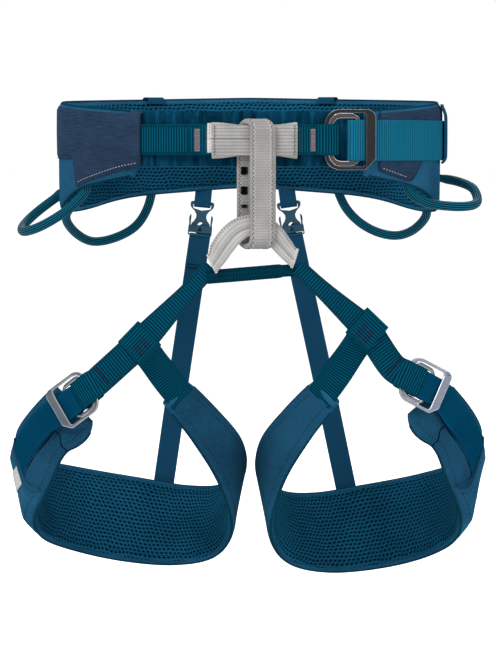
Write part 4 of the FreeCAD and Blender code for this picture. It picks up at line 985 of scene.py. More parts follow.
def tail_webbing():
    turn, over = waist.tail(5.0)
    load = [belt_point(a, 8.8, 0) for a in (47.5, 43, 39.5, 37.4)] + [waist_buckle.at(12.6, 0, waist.low + 0.1)]
    path = resample([flat_point(p) for p in load + [waist_buckle.at(a, 0, o) for a, o in turn]], 0.9)
    rest = [waist_buckle.at(over[0], 0, over[1]), waist_buckle.at(waist.half - 3, 0, over[1] + 0.1)]
    rest += [belt_point(a, 14.0, 0) for a in spread(43.5, 112, 13)]
    tail = resample([path[-1]] + [flat_point(p) for p in rest], 1.5)
    surface = Surface()
    sweep(surface, plan_axes([p + Vector((0, 0, -0.5)) for p in path + tail[1:]]), 16.5, 1.8)
    surface.build("waist_tail_strap", [WEB_TAIL], "belt", ("waist_webbing_tail",), "webbing")
    stitches("belt", "waist_tail_hem_stitching", DARK_THREAD,
             [(*belt_row(angle, 15.0, -15.5, 14.5, 14), 1.5, 0.6, 0.3) for angle in (110.6, 111.4)])


def keeper():
    """Elastic keeper round the free end: a flat band with sewn ends above and below."""
    outer = 16.4
    path = [(PANEL + 0.4, 29.5), (PANEL + 0.9, 27.5), (outer - 1.2, 24.0), (outer, 19.5), (outer + 0.25, 10),
            (outer + 0.25, -8), (outer, -14.8), (outer - 1.2, -17.4), (PANEL + 0.6, -19.4)]
    surface = Surface()
    sweep(surface, down_axes(KEEPER_ANGLE, path, 1.0), 8.2, 1.0)
    surface.build("waist_keeper_band", [RISER], "belt", ("waist_keeper",), "trim_webbing")


def boxy(value, power):
    """Pushes a cosine or sine outwards, so that a circle becomes a rounded box."""
    return math.copysign(abs(value) ** power, value)


def sleeve():
    """Pale webbing wrapped round the front strap, pinched towards the belay loop."""
    angles, count = spread(-10.4, 13.3, 46), 34
    surface, rows = Surface(), []
    for angle in angles:
        tall = bow_height(angle) + 1.7
        half = 2.75 - 0.35 * smoothstep(1.2, 0, min(angle - angles[0], angles[-1] - angle))
        wave = 0.25 * math.sin(angle * 1.9)
        row = []
        for k in range(count):
            c, s = math.cos(math.tau * k / count), math.sin(math.tau * k / count)
            out, up = half * boxy(c, 0.45), tall * boxy(s, 0.75) * (1 if s > 0 else 1.1)
            crease = 0.30 * math.sin(up * 1.35 + wave) + 0.14 * math.sin(up * 3.1) if out > 0 else 0
            row.append(belt_point(angle, bow_offset(angle, out) + crease, up))
        rows.append(row)
    surface.tube(rows, belt_length(angles, 18), [k / count * 0.06 for k in range(count + 1)])
    surface.level_uvs()
    surface.build("upper_tie_in_cover", [PALE_SLEEVE], "belt", ("upper_tie_in_sleeve",), "tie_in_webbing")
    angles_in, count = spread(-11.7, -9.9, 5), 28
    fold, rows = Surface(), []
    for angle in angles_in:
        turns = [(math.cos(math.tau * k / count), math.sin(math.tau * k / count)) for k in range(count)]
        rows.append([belt_point(angle, bow_offset(angle, 2.1 * boxy(c, 0.5)),
                                (13.2 if s > 0 else 11.0) * boxy(s, 0.8)) for c, s in turns])
    fold.tube(rows, belt_length(angles_in, 18), [k / count * 0.06 for k in range(count + 1)])
    fold.build("upper_tie_in_fold", [PALE_TIP], "belt", slot="tie_in_webbing")
    ends = [(*bow_row(place, bow_height(place) + 0.6, 2.9), 1.5, 0.5, 0.34, 0.5)
            for place in (angles[0] + 0.9, angles[-1] - 0.9)]
    stitches("belt", "upper_tie_in_end_stitching", GREY_THREAD, ends, "pink_thread")
    dashes = [(*bow_line(start, end, 0.6, 10, 3.1), 1.1, 0.9, 0.3) for start, end in ((-10.8, -5.4), (-5.4, 0.5))]
    stitches("belt", "upper_tie_in_middle_stitching", DARK_THREAD, dashes)


front_webbing()
bow_stitches()
tail_webbing()
keeper()
sleeve()

# ------------------------------------------------------------------ tie-in points and belay loop

BELAY_Y, BELAY_R, BELAY_T, BELAY_HALF = -110.75, 7.35, 4.2, 10.4     # middle, bend, thickness, half width
BELAY_TOP, BELAY_BASE = 6.9, -77.6
BELAY_SKEW = 10.5                                          # the front strand sits to one side of the rear one
FORWARD = Vector((0, -1, 0))
ARCH_Y = -113.0
ARCH_LINE = ((-29.9, -98.8), (-21.8, -85.4), (-14.3, -75.8), (-6.5, -70.2), (2.5, -68.2), (11.5, -69.6),
             (19.2, -75.6), (26.6, -84.6), (35.6, -94.6))
ARCH_WIDE = (8.2, 9.0, 9.4, 9.2, 8.7, 8.8, 8.6, 7.9, 7.8)
ARCH_FEET = (Vector((-0.44, 0, 0.90)), Vector((0.30, 0, 0.95)))      # lines of the two folded ends
ARCH_FOLDS = {"right": ((-33.6, -91.0), (-26.2, -106.2)), "left": ((38.2, -86.6), (33.4, -102.0))}


def belay_path():
    """Centre line round the loop as (y, z, normal y, normal z), starting low on the rear strand."""
    def straight(side, start, end):
        return [(BELAY_Y + BELAY_R * side, z, side, 0) for z in spread(start, end, 40)]

    def bend(height, start):
        turns = [math.radians(turn) for turn in spread(start, start + 180, 16)]
        return [(BELAY_Y + BELAY_R * math.cos(turn), height + BELAY_R * math.sin(turn), math.cos(turn), math.sin(turn))
                for turn in turns]

    return (straight(1, BELAY_BASE, BELAY_TOP) + bend(BELAY_TOP, 0)[1:]
            + straight(-1, BELAY_TOP, BELAY_BASE)[1:] + bend(BELAY_BASE, 180)[1:-1])


def belay_loop():
    path, rows = belay_path(), []
    outline = flat_profile(BELAY_HALF, BELAY_T / 2, faces=14, turns=5)
    for y, z, ny, nz in path:
        narrow = 1.0 - 0.06 * smoothstep(BELAY_TOP - 4, BELAY_TOP + 6, z)
        skew = BELAY_SKEW * (BELAY_Y + BELAY_R - y) / (2 * BELAY_R)
        row = []
        for across, out, _ in outline:
            ridge = 0.28 if 5.8 < abs(across) < 9.2 and out > 0 else 0
            bow = 0.35 * (1 - (across / 11) ** 2) if out > 0 else 0
            reach = out + ridge + bow - 0.2
            row.append(Vector((skew + across * narrow, y + ny * reach, z + nz * reach)))
        rows.append(row)
    run = lengths([Vector((0, y, z)) for y, z, _, _ in path])
    surface = Surface()
    surface.grid(rows + rows[:1], run + [run[-1] + 0.0014], v_of(outline) + v_of(outline)[:1], closed=True)
    loop = surface.build("belay_loop_webbing", [PALE], "belay", ("belay_loop",), "tie_in_webbing")
    weld = bmesh.new()
    weld.from_mesh(loop.data)
    bmesh.ops.remove_doubles(weld, verts=weld.verts, dist=1e-6)
    weld.to_mesh(loop.data)
    weld.free()
    front, rear = BELAY_Y - BELAY_R - BELAY_T / 2 - 0.22, BELAY_Y + BELAY_R - BELAY_T / 2 - 0.25
    zigzag = [([Vector((BELAY_SKEW + side * inset, front, z)) for z in spread(BELAY_TOP + 3, BELAY_BASE - 4, 30)],
               FORWARD, 1.7, 0.15, radius, wander)
              for side in (-1, 1) for inset, wander, radius in ((8.5, 0.75, 0.3), (6.4, 0.6, 0.27))]
    stitches("belay", "belay_loop_zigzag", PALE_TIP, zigzag, "tie_in_webbing")
    # ladder of tacks on the rear strand, with dark woven marks beside it: (height, half height, rows)
    ladder = [([Vector((x, rear, z)) for x in spread(-9.6, -1.0, 6)], FORWARD, 1.5, 0.2, 0.36, 0.35)
              for z in spread(-14, -56, 13)]
    marks = [([Vector((x, rear - 0.35, height)) for x in spread(-7.4, -1.0, 5)], FORWARD, 6.0, 0.1, 0.62)
             for z, half, count in ((-24.8, 2.6, 5), (-40.6, 2.6, 5), (-53.0, 0.7, 1))
             for height in spread(z - half, z + half, count)]
    stitches("belay", "belay_loop_ladder", PALE_TIP, ladder, "tie_in_webbing")
    stitches("belay", "belay_loop_marks", BLACK_MARK, marks)


def arch_up(centre, index):
    """Across direction of the arch, turned to the line of the fold at either end."""
    count = len(centre) - 1
    run = travel(centre, index).normalized()
    up = Vector((-run.z, 0, run.x)).lerp(ARCH_FEET[0], smoothstep(15, 1, index))
    return up.lerp(ARCH_FEET[1], smoothstep(15, 1, count - index)).normalized()


def arch_fold(label, corner, far):
    """Rolled end of the arch, thinner towards its two corners."""
    a, b = Vector((corner[0], ARCH_Y - 0.2, corner[1])), Vector((far[0], ARCH_Y - 0.2, far[1]))
    side = (b - a).normalized().cross(Vector((0, 1, 0)))
    rows = []
    for share in spread(0, 1, 8):
        squeeze = 0.75 + 0.25 * math.sin(math.pi * share)
        rows.append([a.lerp(b, share) + side * (1.45 * squeeze * math.cos(turn))
                     + Vector((0, 2.75 * squeeze * math.sin(turn), 0))
                     for turn in (math.tau * j / 12 for j in range(12))])
    fold = Surface()
    fold.tube(rows, lengths([row[0] for row in rows]), [j / 12 * 0.012 for j in range(13)])
    fold.build(f"lower_tie_in_{label}_fold", [PALE_TIP], "belt", slot="tie_in_webbing")


def tie_in_arch():
    """Folded webbing arch: a broad face, a turned-back lower lip, and folded feet."""
    centre = resample([Vector((x, ARCH_Y, z)) for x, z in ARCH_LINE], 1.0)
    rows, outer, inner, lip_edge = [], [], [], []
    for index, point in enumerate(centre):
        up = arch_up(centre, index)
        half = smooth(ARCH_WIDE, index / (len(centre) - 1) * (len(ARCH_WIDE) - 1))
        row = []
        for across, out, _ in flat_profile(half, 2.1, faces=14, turns=5):
            share = across / half
            lip = 0.75 * smoothstep(-0.10, -0.34, share) if out > 0 else 0
            bow = 0.25 * math.cos(share * math.pi * 0.5) if out > 0 else 0
            row.append(point + up * across + FORWARD * (out + lip + bow - 0.1))
        rows.append(row)
        outer.append(point + FORWARD * 2.3 + up * (half - 1.3))
        inner.append(point + FORWARD * 3.0 - up * (half - 1.6))
        lip_edge.append(point + FORWARD * 2.65 - up * (half * 0.13))
    surface = Surface()
    surface.tube(rows, lengths(centre), v_of(flat_profile(8.4, 2.1, faces=14, turns=5)))
    surface.build("lower_tie_in_webbing", [PALE_PLAIN], "belt", ("lower_tie_in_arch",), "tie_in_webbing")
    stitches("belt", "lower_tie_in_outer_stitching", GREY_THREAD, [(outer, FORWARD, 1.2, 1.3, 0.3)], "pink_thread")
    stitches("belt", "lower_tie_in_lip_stitching", PALE_TIP, [(inner, FORWARD, 1.5, 0.6, 0.28)], "tie_in_webbing")
    piping("belt", "lower_tie_in_lip_edge", PALE_PLAIN, lip_edge, 0.5, "tie_in_webbing")
    for label, (corner, far) in ARCH_FOLDS.items():
        arch_fold(label, corner, far)


def crossbridge():
    """Two-layer elastic bridge, its upper layer stopping short of one end."""
    line = ((-34.0, -109.6), (-24.0, -108.8), (5.0, -106.4), (24.0, -104.8), (36.2, -103.9))
    base = path_axes(resample([Vector((x, -109.0, z)) for x, z in line], 1.5), lambda share: FORWARD)
    over = [axes for axes in base if axes.origin.x < 21.5]
    surface = Surface()
    sweep(surface, base, [5.6 - 0.7 * smoothstep(0.82, 0.86, i / (len(base) - 1)) for i in range(len(base))], 2.6)
    sweep(surface, [Axes(axes.at(0, 0, 1.5), axes.along, axes.outward) for axes in over], 4.7, 1.2)
    surface.build("crossbridge_webbing", [BRIDGE_WEB], "belt", ("crossbridge_strap",), "trim_webbing")
    stitches("belt", "crossbridge_stitching", DARK_THREAD,
             [([axes.at(0, side, 2.1) for axes in over], FORWARD, 1.6, 0.9, 0.26) for side in (-3.4, 3.4, 0.0)])


belay_loop()
tie_in_arch()
crossbridge()

# ------------------------------------------------------------------ leg loops

LEG_CENTRE = Vector((-102.0, 0.0, 0.0))
# middle of the right leg's band, from the buckle end round: (place, half width, lean in degrees)
LEG_STATIONS = (
    ((-142.0, -74.0, -213.0), 20.0, 2.0), ((-158.0, -60.5, -238.0), 26.0, 7.0),
    ((-174.0, -37.5, -264.0), 30.0, 11.0), ((-182.0, -5.0, -288.0), 33.0, 12.0),
    ((-174.5, 36.0, -306.0), 36.0, 18.0), ((-147.0, 68.0, -319.0), 38.0, 23.0),
    ((-106.0, 80.0, -329.0), 38.5, 27.0), ((-64.0, 71.0, -333.5), 35.5, 24.0),
    ((-33.0, 44.0, -326.0), 32.0, 17.0), ((-16.5, 7.0, -301.0), 30.0, 12.0),
    ((-21.5, -24.0, -268.0), 24.0, 10.0), ((-41.0, -47.0, -235.0), 17.5, 6.0),
    ((-63.5, -68.5, -205.0), 13.7, 0.0),
)
# how the left leg hangs differently before it is mirrored: (x, z) at each of them
LEFT_SHIFTS = ((1, 5), (2, 4), (4, 3), (6, 0), (5, -3), (3, -6), (0, -6.5), (0, -6.5), (0, -5), (0, -3),
               (0, 0), (0, 1), (0, 1))
# how far the pad's lower edge stands out from its even width, from the buckle end on
LOWER_EDGE = (6.0, 6.5, 5.0, 1.0, -4.5, -6.0, -5.0, -3.0, -2.0, -1.4, -1.0, -0.5, 0.0)
LEG_OUTER = 9.0
SLEEVE_HALF, SLEEVE_OUT = 11.7, 3.55
leg_parts = Buckle(40.0, 3.0, 7.5, 24.5, 3.3, 2.2, 1.6)


def lower_edge(leg, position):
    """Distance from the pad's middle line to its lower edge."""
    return leg.half(position) + smooth(LOWER_EDGE, min(position * 4, len(LOWER_EDGE) - 1))


def leg_pad(leg):
    """Padded band of the leg loop: crowned, thin at its bound edges, mesh on the thigh side."""
    positions = spread(0, leg.last, 200)
    rows, centres, middle = [], [], LEG_OUTER / 2
    rng = random.Random(4 if leg.mirror else 3)
    ripple = [rng.uniform(-1, 1) for _ in range(70)]
    for index, position in enumerate(positions):
        axes = leg.frame(position)
        round_end = rounded(min(index, len(positions) - 1 - index) / 7)
        reach = middle * (0.42 + 0.58 * round_end)
        outline = pad_outline(-lower_edge(leg, position) * (0.86 + 0.14 * round_end),
                              leg.half(position) * (0.90 + 0.10 * round_end), middle - reach + 0.3,
                              middle + reach - 0.2, 0.3 + 0.3 * smooth(ripple, index / 4), 0.5)
        # the band's across axis points down on this side, so its outline is turned over
        rows.append([axes.at(0, -a, o) for a, o, _ in outline])
        centres.append(axes.at(0, 0, middle))
    surface = Surface()
    surface.tube(rows, lengths(centres), v_of(pad_outline(-32, 32, 0, LEG_OUTER)), pad_slot)
    pad = surface.build("leg_pad", [FABRIC, MESH], leg, ("leg_mesh_lining", "leg_foam_core", "leg_outer_shell"),
                        "outer_fabric")
    for label, side, edge in (("upper", 1, Leg.half), ("lower", -1, lower_edge)):
        frames = [(leg.frame(p), edge(leg, p)) for p in positions[4:-4]]
        piping(leg, f"leg_{label}_binding", BINDING, [axes.at(0, -side * half, LEG_OUTER - 2.9) for axes, half in frames],
               1.3)
        stitches(leg, f"leg_{label}_stitching", DARK_THREAD,
                 [([axes.at(0, -side * (half - inset), height) for axes, half in frames],
                   [axes.outward * facing for axes, _ in frames], 2.0, 1.2, 0.26)
                  for inset, height, facing in ((6.2, LEG_OUTER - 0.2, 1), (6.4, 1.5, -1))])


def leg_main_strap(leg):
    """Doubled front strap from the tie-in arch to the fold round the buckle's bars."""
    sewn, slack = (4.6, 7.6) if leg.mirror else (6.0, 5.5)
    fold = route_axes(leg.buckle, leg_parts.fold(-leg_parts.half - sewn, slack), 0.7)
    end = fold[-1]
    reach = (leg.junction - end.origin).length
    # the left buckle lies flatter than its strap, so the webbing bends on its way down to it
    straight = (leg.junction - end.origin).normalized()
    first = end.along if leg.mirror else straight
    upward = (leg.strap_top - leg.junction).normalized() if leg.mirror else straight
    bend = (end.origin, end.origin + first * (reach * 0.24), leg.junction - upward * (reach * 0.2), leg.junction)
    curve = []
    for share in spread(0, 1, 5):
        rest = 1 - share
        weights = (rest ** 3, 3 * rest * rest * share, 3 * rest * share * share, share ** 3)
        curve.append(sum((point * weight for point, weight in zip(bend, weights)), Vector()))
    points = resample(curve + [(leg.strap_top + leg.junction) * 0.5, leg.strap_top], 1.6)
    facing = [Vector((-0.38, -0.92, 0)), Vector((-0.38, -0.92, 0)), Vector((-0.30, -0.94, 0)), Vector((0.1, -0.98, 0))]
    turned = 1 if end.outward.dot(facing[0]) > 0 else -1
    frames = path_axes(points, lambda share: smooth(facing, share * 3) * turned)
    joined = fold + frames[1:]
    halves = [12.0 - 5.2 * smoothstep(0.62, 0.95, i / (len(joined) - 1)) for i in range(len(joined))]
    surface = Surface()
    sweep(surface, joined, halves, [1.6 + 0.9 * smoothstep(len(fold) - 4, len(fold) + 3, i) for i in range(len(joined))])
    surface.build("leg_front_strap", [WEB_LEG], leg, ("leg_main_strap",), "webbing")
    shown = range(2, len(frames))
    edges = [([frames[i].at(0, side * (halves[len(fold) + i - 1] - 1.5), 1.35 * turned) for i in shown],
              [frames[i].outward * turned for i in shown], 1.4, 1.0, 0.24) for side in (-1, 1)]
    across = [([f.at(0, a, 1.35 * turned) for a in spread(-9, 9, 6)], f.outward * turned, 1.2, 0.25, 0.4, 0.5)
              for f in (frames[4], frames[5])]
    stitches(leg, "leg_front_strap_stitching", PURPLE, edges + across)
    return [Axes(f.origin, f.along, f.outward * turned) for f in frames]


def leg_sleeve(leg, frames):
    """Webbing up from the pad's inner end, wrapped round the front strap as a sliding sleeve."""
    junction = min(frames, key=lambda f: (f.origin - leg.junction).length)
    face = Axes(leg.junction, junction.along * -1, junction.outward)
    surface, rows = Surface(), []
    outline = flat_profile(14.1, SLEEVE_OUT, faces=12, turns=6)
    for k, share in enumerate(spread(0, 1, 14)):
        shrink = 1 - 0.12 * smoothstep(1.2, 0, min(share, 1 - share) * 14)
        rows.append([face.at(SLEEVE_HALF * (2 * share - 1), a, o * shrink) for a, o, _ in outline])
    surface.tube(rows, [SLEEVE_HALF * 2 * MM * share for share in spread(0, 1, 14)], v_of(outline))
    # ribs of the sleeve run along the front strap
    surface.uvs = [[(v, u - SLEEVE_HALF * MM) for u, v in uv] for uv in surface.uvs]
    pad_end = leg.frame(leg.last)
    to_pad = [(face.at(0, side, 0) - pad_end.origin).length for side in (20, -20)]
    toward = -1 if to_pad[0] > to_pad[1] else 1
    start, end = face.at(0, 6.0 * toward, 2.3), pad_end.at(-9.0, 0, LEG_OUTER - 1.2)
    points = resample([start, start.lerp(end, 0.33), start.lerp(end, 0.67), end], 1.5)
    facing = [face.outward, face.outward, (face.outward + pad_end.outward) * 0.5, pad_end.outward]
    sweep(surface, path_axes(points, lambda share: smooth(facing, share * 3)), 12.3, 1.9, start=0.03)
    surface.build("leg_riser_sleeve", [WEB_LEG], leg, ("leg_front_webbing",), "webbing")
    stitches(leg, "leg_sleeve_tacks", PURPLE,
             [([face.at(along, a * toward, SLEEVE_OUT + 0.05) for a in spread(-2.0, 10.5, 8)], face.outward,
               1.2, 0.15, 0.42, 0.4) for along in (-5.2, -2.4, 2.0, 4.8)], replaces=("leg_bar_tacks",))
    # fabric collar where the pad closes round the webbing
    axes, outline = leg.frame(leg.last - 0.05), flat_profile(14.2, 4.6, faces=10, turns=6)
    rows = []
    for share in spread(0, 1, 6):
        shrink = 0.86 + 0.14 * math.sin(math.pi * share)
        rows.append([axes.at(-2.0 + 5.0 * share, -a, LEG_OUTER / 2 + o * shrink) for a, o, _ in outline])
    collar = Surface()
    collar.tube(rows, [share * 0.005 for share in spread(0, 1, 6)], v_of(outline))
    collar.build("leg_pad_collar", [FABRIC_LIGHT], leg, slot="outer_fabric")


def leg_tail(leg):
    """Free end: round the ring's far bar, out over the pad and into the pocket."""
    pad_start = (leg.frame(0).origin - leg.buckle.origin).dot(leg.buckle.along)
    turn, over = leg_parts.tail(4.4)
    local = [(pad_start - 1.0, leg_parts.low)] + turn + [over, (leg_parts.half - 1.0, over[1])]
    frames = route_axes(leg.buckle, local, 0.7)
    # (position on the pad, lift, across); the turn reverses the strap, so its visible side faces out again
    onto = ((0.72, 4.0, -7.0), (1.0, 2.6, -9.2), (1.5, 0.7, -11.4), (2.0, 0, -12.6), (2.6, -0.3, -12.0),
            (3.2, -0.3, -8.0))
    points, facing = [frames[-1].origin], [frames[-1].outward]
    for position, lift, across in onto:
        axes = leg.frame(position)
        points.append(axes.at(0, across, LEG_OUTER + 0.9 + lift))
        facing.append(axes.outward * (1 if frames[-1].outward.dot(axes.outward) > 0 else -1))
    frames += path_axes(resample(points, 1.4), lambda share: smooth(facing, share * (len(facing) - 1)))[1:]
    surface = Surface()
    sweep(surface, frames, 11.4, 1.5)
    surface.build("leg_free_strap", [WEB_LEG_TAIL], leg, ("leg_tail_strap",), "webbing")


def pocket_point(leg, position, share, lift=0.0, level=None):
    """Point on the pocket: position 0 at its mouth to 1 at its closed end, share -1 to 1 across."""
    mouth = 2.0 + 0.62 * (1 - share * share) ** 0.8
    slant = mouth + (4.3 - mouth) * position
    across = share * (leg.half(slant) if share > 0 else lower_edge(leg, slant))
    near = min(32 * (1 - abs(share)), (1 - position) * 60)
    full = 2.3 + 3.6 * smoothstep(0.0, 0.3, position)
    out = LEG_OUTER + 0.35 + full * smoothstep(-0.5, 10, near) * (1 - 0.7 * smoothstep(0.45, 1.0, position))
    out -= 3.6 * smoothstep(0.9, 1.0, abs(share))
    out += 0.3 * math.sin(slant * 9 + share * 3) * (1 - share * share)
    return leg.frame(slant).at(0, -across, out + lift if level is None else level)


def leg_pocket(leg):
    """Fabric sleeve over the pad that takes the free end, its mouth cut on the slant."""
    count = 22
    shares = [k / count * 2 - 1 for k in range(count + 1)]
    rows = [[pocket_point(leg, position, share) for share in shares] for position in spread(0, 1, 44)]
    under = [[pocket_point(leg, position, share, level=LEG_OUTER - 0.7 - 3.0 * smoothstep(0.9, 1.0, abs(share)))
              for share in shares] for position in spread(0, 1, 44)]
    us = lengths([row[count // 2] for row in rows])
    vs = [k / count * 0.06 for k in range(count + 1)]
    surface = Surface()
    surface.tube([a + b[::-1] for a, b in zip(rows, under)], us, vs + vs[::-1] + [0.0])
    piece = surface.build("leg_pocket_fabric", [FABRIC_LIGHT], leg, ("leg_pocket",), "outer_fabric")
    leg.name("leg_pad")
    piping(leg, "leg_pocket_hem", FABRIC, resample(rows[0][1:-1], 1.5), 0.75)
    seams = [(resample(rows[3][2:-2], 1.5), leg.frame(2.4).outward, 1.7, 1.1, 0.26)]
    seams += [([row[k] for row in rows[2:-2]], leg.frame(3).outward, 1.7, 1.1, 0.26) for k in (2, count - 2)]
    stitches(leg, "leg_pocket_stitching", DARK_THREAD, seams)
    tag_start = 0.42 if leg.mirror else 0.04
    tag_sides = ((1.0, spread(-0.16, 0.34, 8)), (0.45, spread(0.34, -0.16, 8)))
    rows = [[pocket_point(leg, tag_start + 0.19 * k / 8, share, lift) for lift, line in tag_sides for share in line]
            for k in range(9)]
    tag = Surface()
    tag.tube(rows, [k * 0.0012 for k in range(9)], [j * 0.0011 for j in range(len(rows[0]) + 1)])
    tag.build("leg_woven_tag", [TAG], leg, ("leg_label",), "woven_tag")


def leg_seam_and_shadow_lines(leg):
    """Dark seam line along the pad beside the free strap, which also paints the shadow under the strap's lower edge,
    and the short seam across its inner edge.
    """
    seams = Surface()
    # this continuous dark tube follows the free strap's lower edge: a seam, and a painted shadow line under that edge
    round_tube(seams, [leg.frame(position).at(0, 1.6 + 1.2 * math.sin(position * 2), LEG_OUTER + 0.15)
                       for position in spread(0.35, 2.6, 40)], 0.42, 6)
    cross = []
    for across in spread(4.0, 22.5, 9):
        position = 0.80 + 0.012 * (across - 4) + 0.03 * math.sin(across * 0.5)
        cross.append(leg.frame(position).at(0, across, LEG_OUTER + 0.25 - 1.3 * smoothstep(15, 23, across)))
    round_tube(seams, cross, 0.4, 6)
    seams.build("leg_pad_seams", [DARK_THREAD], leg, slot="dark_thread")


LEGS = (
    Leg("right", [(0, 0)] * 13, (-30.5, -108.4, -101.5), (-88.4, -102.0, -163.3),
        Axes((-139.3, -82.8, -210.2), (-0.704, 0.41, -0.58), (-0.5, -0.86, 0))),
    Leg("left", LEFT_SHIFTS, (-36.3, -111.0, -101.8), (-91.6, -101.0, -152.5),
        Axes((-135.7, -84.0, -198.0), (-0.79, 0.41, -0.455), (-0.46, -0.88, 0))),
)
for leg in LEGS:
    leg_pad(leg)
    leg_sleeve(leg, leg_main_strap(leg))
    leg_tail(leg)
    leg_pocket(leg)
    leg_seam_and_shadow_lines(leg)

# ------------------------------------------------------------------ risers and gear loops

RISERS = {"right": ((-41.0, 98.6, -53.5), (-77.0, 104.4, -310.0)), "left": ((34.0, 98.6, -53.5), (87.0, 106.2, -314.0))}
OUTER_FACE, UNDER_EDGE = 17.0, 5.6       # how far the loops' ends stand off, outside the belt and under its edge
GEAR_RADIUS, GEAR_STEP = 3.95, 1.3
GEAR_LOOPS = {
    "right_front": (belt_point(-62, UNDER_EDGE, -43.0),
                    ((-149.0, -47.0, -57.0), (-170.0, -38.0, -70.0), (-187.0, -20.0, -76.0),
                     (-190.0, 0.0, -72.0), (-180.0, 17.0, -61.0)),
                    belt_point(-105, OUTER_FACE, -45.0)),
    "right_rear": (belt_point(-119, OUTER_FACE, -48.0),
                   ((-158.0, 60.0, -64.0), (-153.5, 78.0, -78.0), (-139.0, 94.0, -88.0),
                    (-120.0, 102.0, -86.0), (-101.0, 104.5, -76.0), (-90.0, 104.0, -60.0)),
                   belt_point(-149.5, OUTER_FACE, -38.0)),
    "left_front": (belt_point(58, UNDER_EDGE, -41.0),
                   ((138.0, -49.0, -48.0), (152.0, -43.0, -53.0), (176.0, -30.0, -55.0),
                    (189.5, -13.0, -52.0), (188.0, 5.0, -41.0), (176.0, 20.0, -35.0)),
                   belt_point(104, OUTER_FACE, -32.0)),
    "left_rear": (belt_point(119, OUTER_FACE, -46.0),
                  ((153.0, 62.0, -62.0), (145.0, 80.0, -76.0), (131.0, 96.0, -83.0),
                   (114.0, 103.0, -81.0), (97.0, 104.0, -72.0), (84.0, 102.0, -58.0)),
                  belt_point(153, OUTER_FACE, -38.0)),
}
# ends that go on inside the belt's lower edge
TUCKED = {"right_front": belt_point(-60.5, 5.4, -33.0), "left_front": belt_point(56.5, 5.4, -31.0)}


def risers(side):
    top, foot = (Vector(p) for p in RISERS[side])
    clip = Axes(top, foot - top - Vector((0, 0, 120)), (0, 1, 0))
    start = clip.at(28.2, 0, 0.9)
    middle = start * 0.45 + foot * 0.55 + Vector((0, 3.0, 0))
    low = start * 0.06 + foot * 0.94 + Vector((0, 2.0, 0))
    points = resample([start, clip.at(38, 0, 0.8), middle, low, foot], 2.5)
    frames = path_axes(points, lambda share: Vector((0, 1, -0.25 * share ** 4)))

    def below(distance):
        """Index of the first frame that far below the housing."""
        return next(i for i, f in enumerate(frames) if (f.origin - start).length > distance)

    # the turned-back end belongs to the housing and slides down the strap with it
    turned, strap, tab = Surface(), Surface(), Surface()
    for lift in (-2.0, 1.95):
        sweep(turned, [Axes(f.origin + f.outward * lift, f.along, f.outward) for f in frames[:below(32)]], 9.2, 1.3)
    turned.build(f"{side}_riser_turned_end", [RISER], f"{side}_clip", slot="trim_webbing")
    sweep(strap, frames[below(17.5):], 9.1, 1.5)
    strap = strap.build(f"{side}_riser_webbing", [RISER], None, (f"{side}_riser_strap",), "trim_webbing")
    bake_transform(strap)
    stitches(f"{side}_clip", f"{side}_riser_upper_tacks", DARK_THREAD,
             [([f.at(0, a, 2.7 * facing) for a in spread(-7.5, 7.5, 7)], f.outward * facing, 1.3, 0.2, 0.35, 0.4)
              for f in (frames[below(27)], frames[below(29.5)]) for facing in (-1, 1)])
    end = path_axes(points, lambda share: Vector((0, 1, -0.25)))[-3:-1]
    stitches(f"{side}_leg_loop", f"{side}_riser_tacks", DARK_THREAD,
             [([axes.at(0, a, 0.95) for a in spread(-6, 6, 6)], axes.outward, 1.3, 0.2, 0.4, 0.4) for axes in end])
    radius = 1.5 + 0.35 + 0.8
    route = [(-16.5, -0.9), (-6.0, -0.9), (-2.0, -radius)] + arc(2.0, 0, radius, -90, 90, 6) \
        + [(-2.0, radius), (-6.0, 1.0), (-8.5, 1.0)]
    sweep(tab, route_axes(clip, route, 0.8), 7.3, 1.5)
    tab.build(f"{side}_riser_tab_webbing", [RISER], "belt", (f"{side}_riser_tab",), "trim_webbing")


def gear_loop(name, first, route, last):
    """Sheathed tube with flattened sewn ends on the belt."""
    hidden = [TUCKED[name]] if name in TUCKED else []
    points = resample(hidden + [first] + [Vector(p) for p in route] + [last], GEAR_STEP)

    def squash_ends(share):
        flat = smoothstep(9, 1, min(share, 1 - share) * (len(points) - 1) * GEAR_STEP)
        return 1 + 0.25 * flat, 1 - 0.35 * flat

    surface = Surface()
    round_tube(surface, points, GEAR_RADIUS, 32, squash_ends)
    surface.build(f"{name}_gear_tube", [TUBE], f"{name}_loop", (f"{name}_gear_loop", f"{name}_gear_core"), "loop_tube")


def gear_anchors():
    """Short webbing tabs that hold the loop ends to the belt."""
    made, outline = Surface(), flat_profile(5.6, 0.75)
    for end in (end for first, _, last in GEAR_LOOPS.values() for end in (first, last)):
        angle = math.degrees(math.atan2(end.x / (HALF_X + OUTER_FACE), -end.y / (HALF_Y + OUTER_FACE)))
        if abs(angle) < 90:
            continue
        base = PANEL + 0.3 if abs(angle) > 140 else SHELL + 0.5
        low, high = end.z + 3.0, end.z + 14.0
        rows = []
        for height in spread(low, high, 8):
            out = base + 2.4 * smoothstep(high - 3, low, height)
            axes = Axes(belt_point(angle, out + 0.6, height), (0, 0, 1), belt_normal(angle))
            rows.append([axes.at(0, a, o) for a, o, _ in outline])
        made.tube(rows, [k * 0.0014 for k in range(9)], v_of(outline))
    made.build("gear_loop_anchor_tabs", [RISER], "belt", ("gear_loop_anchors",), "trim_webbing")


for side in ("right", "left"):
    risers(side)
for name, (first, route, last) in GEAR_LOOPS.items():
    gear_loop(name, first, route, last)
gear_anchors()

# ------------------------------------------------------------------ rigid parts kept from the frame


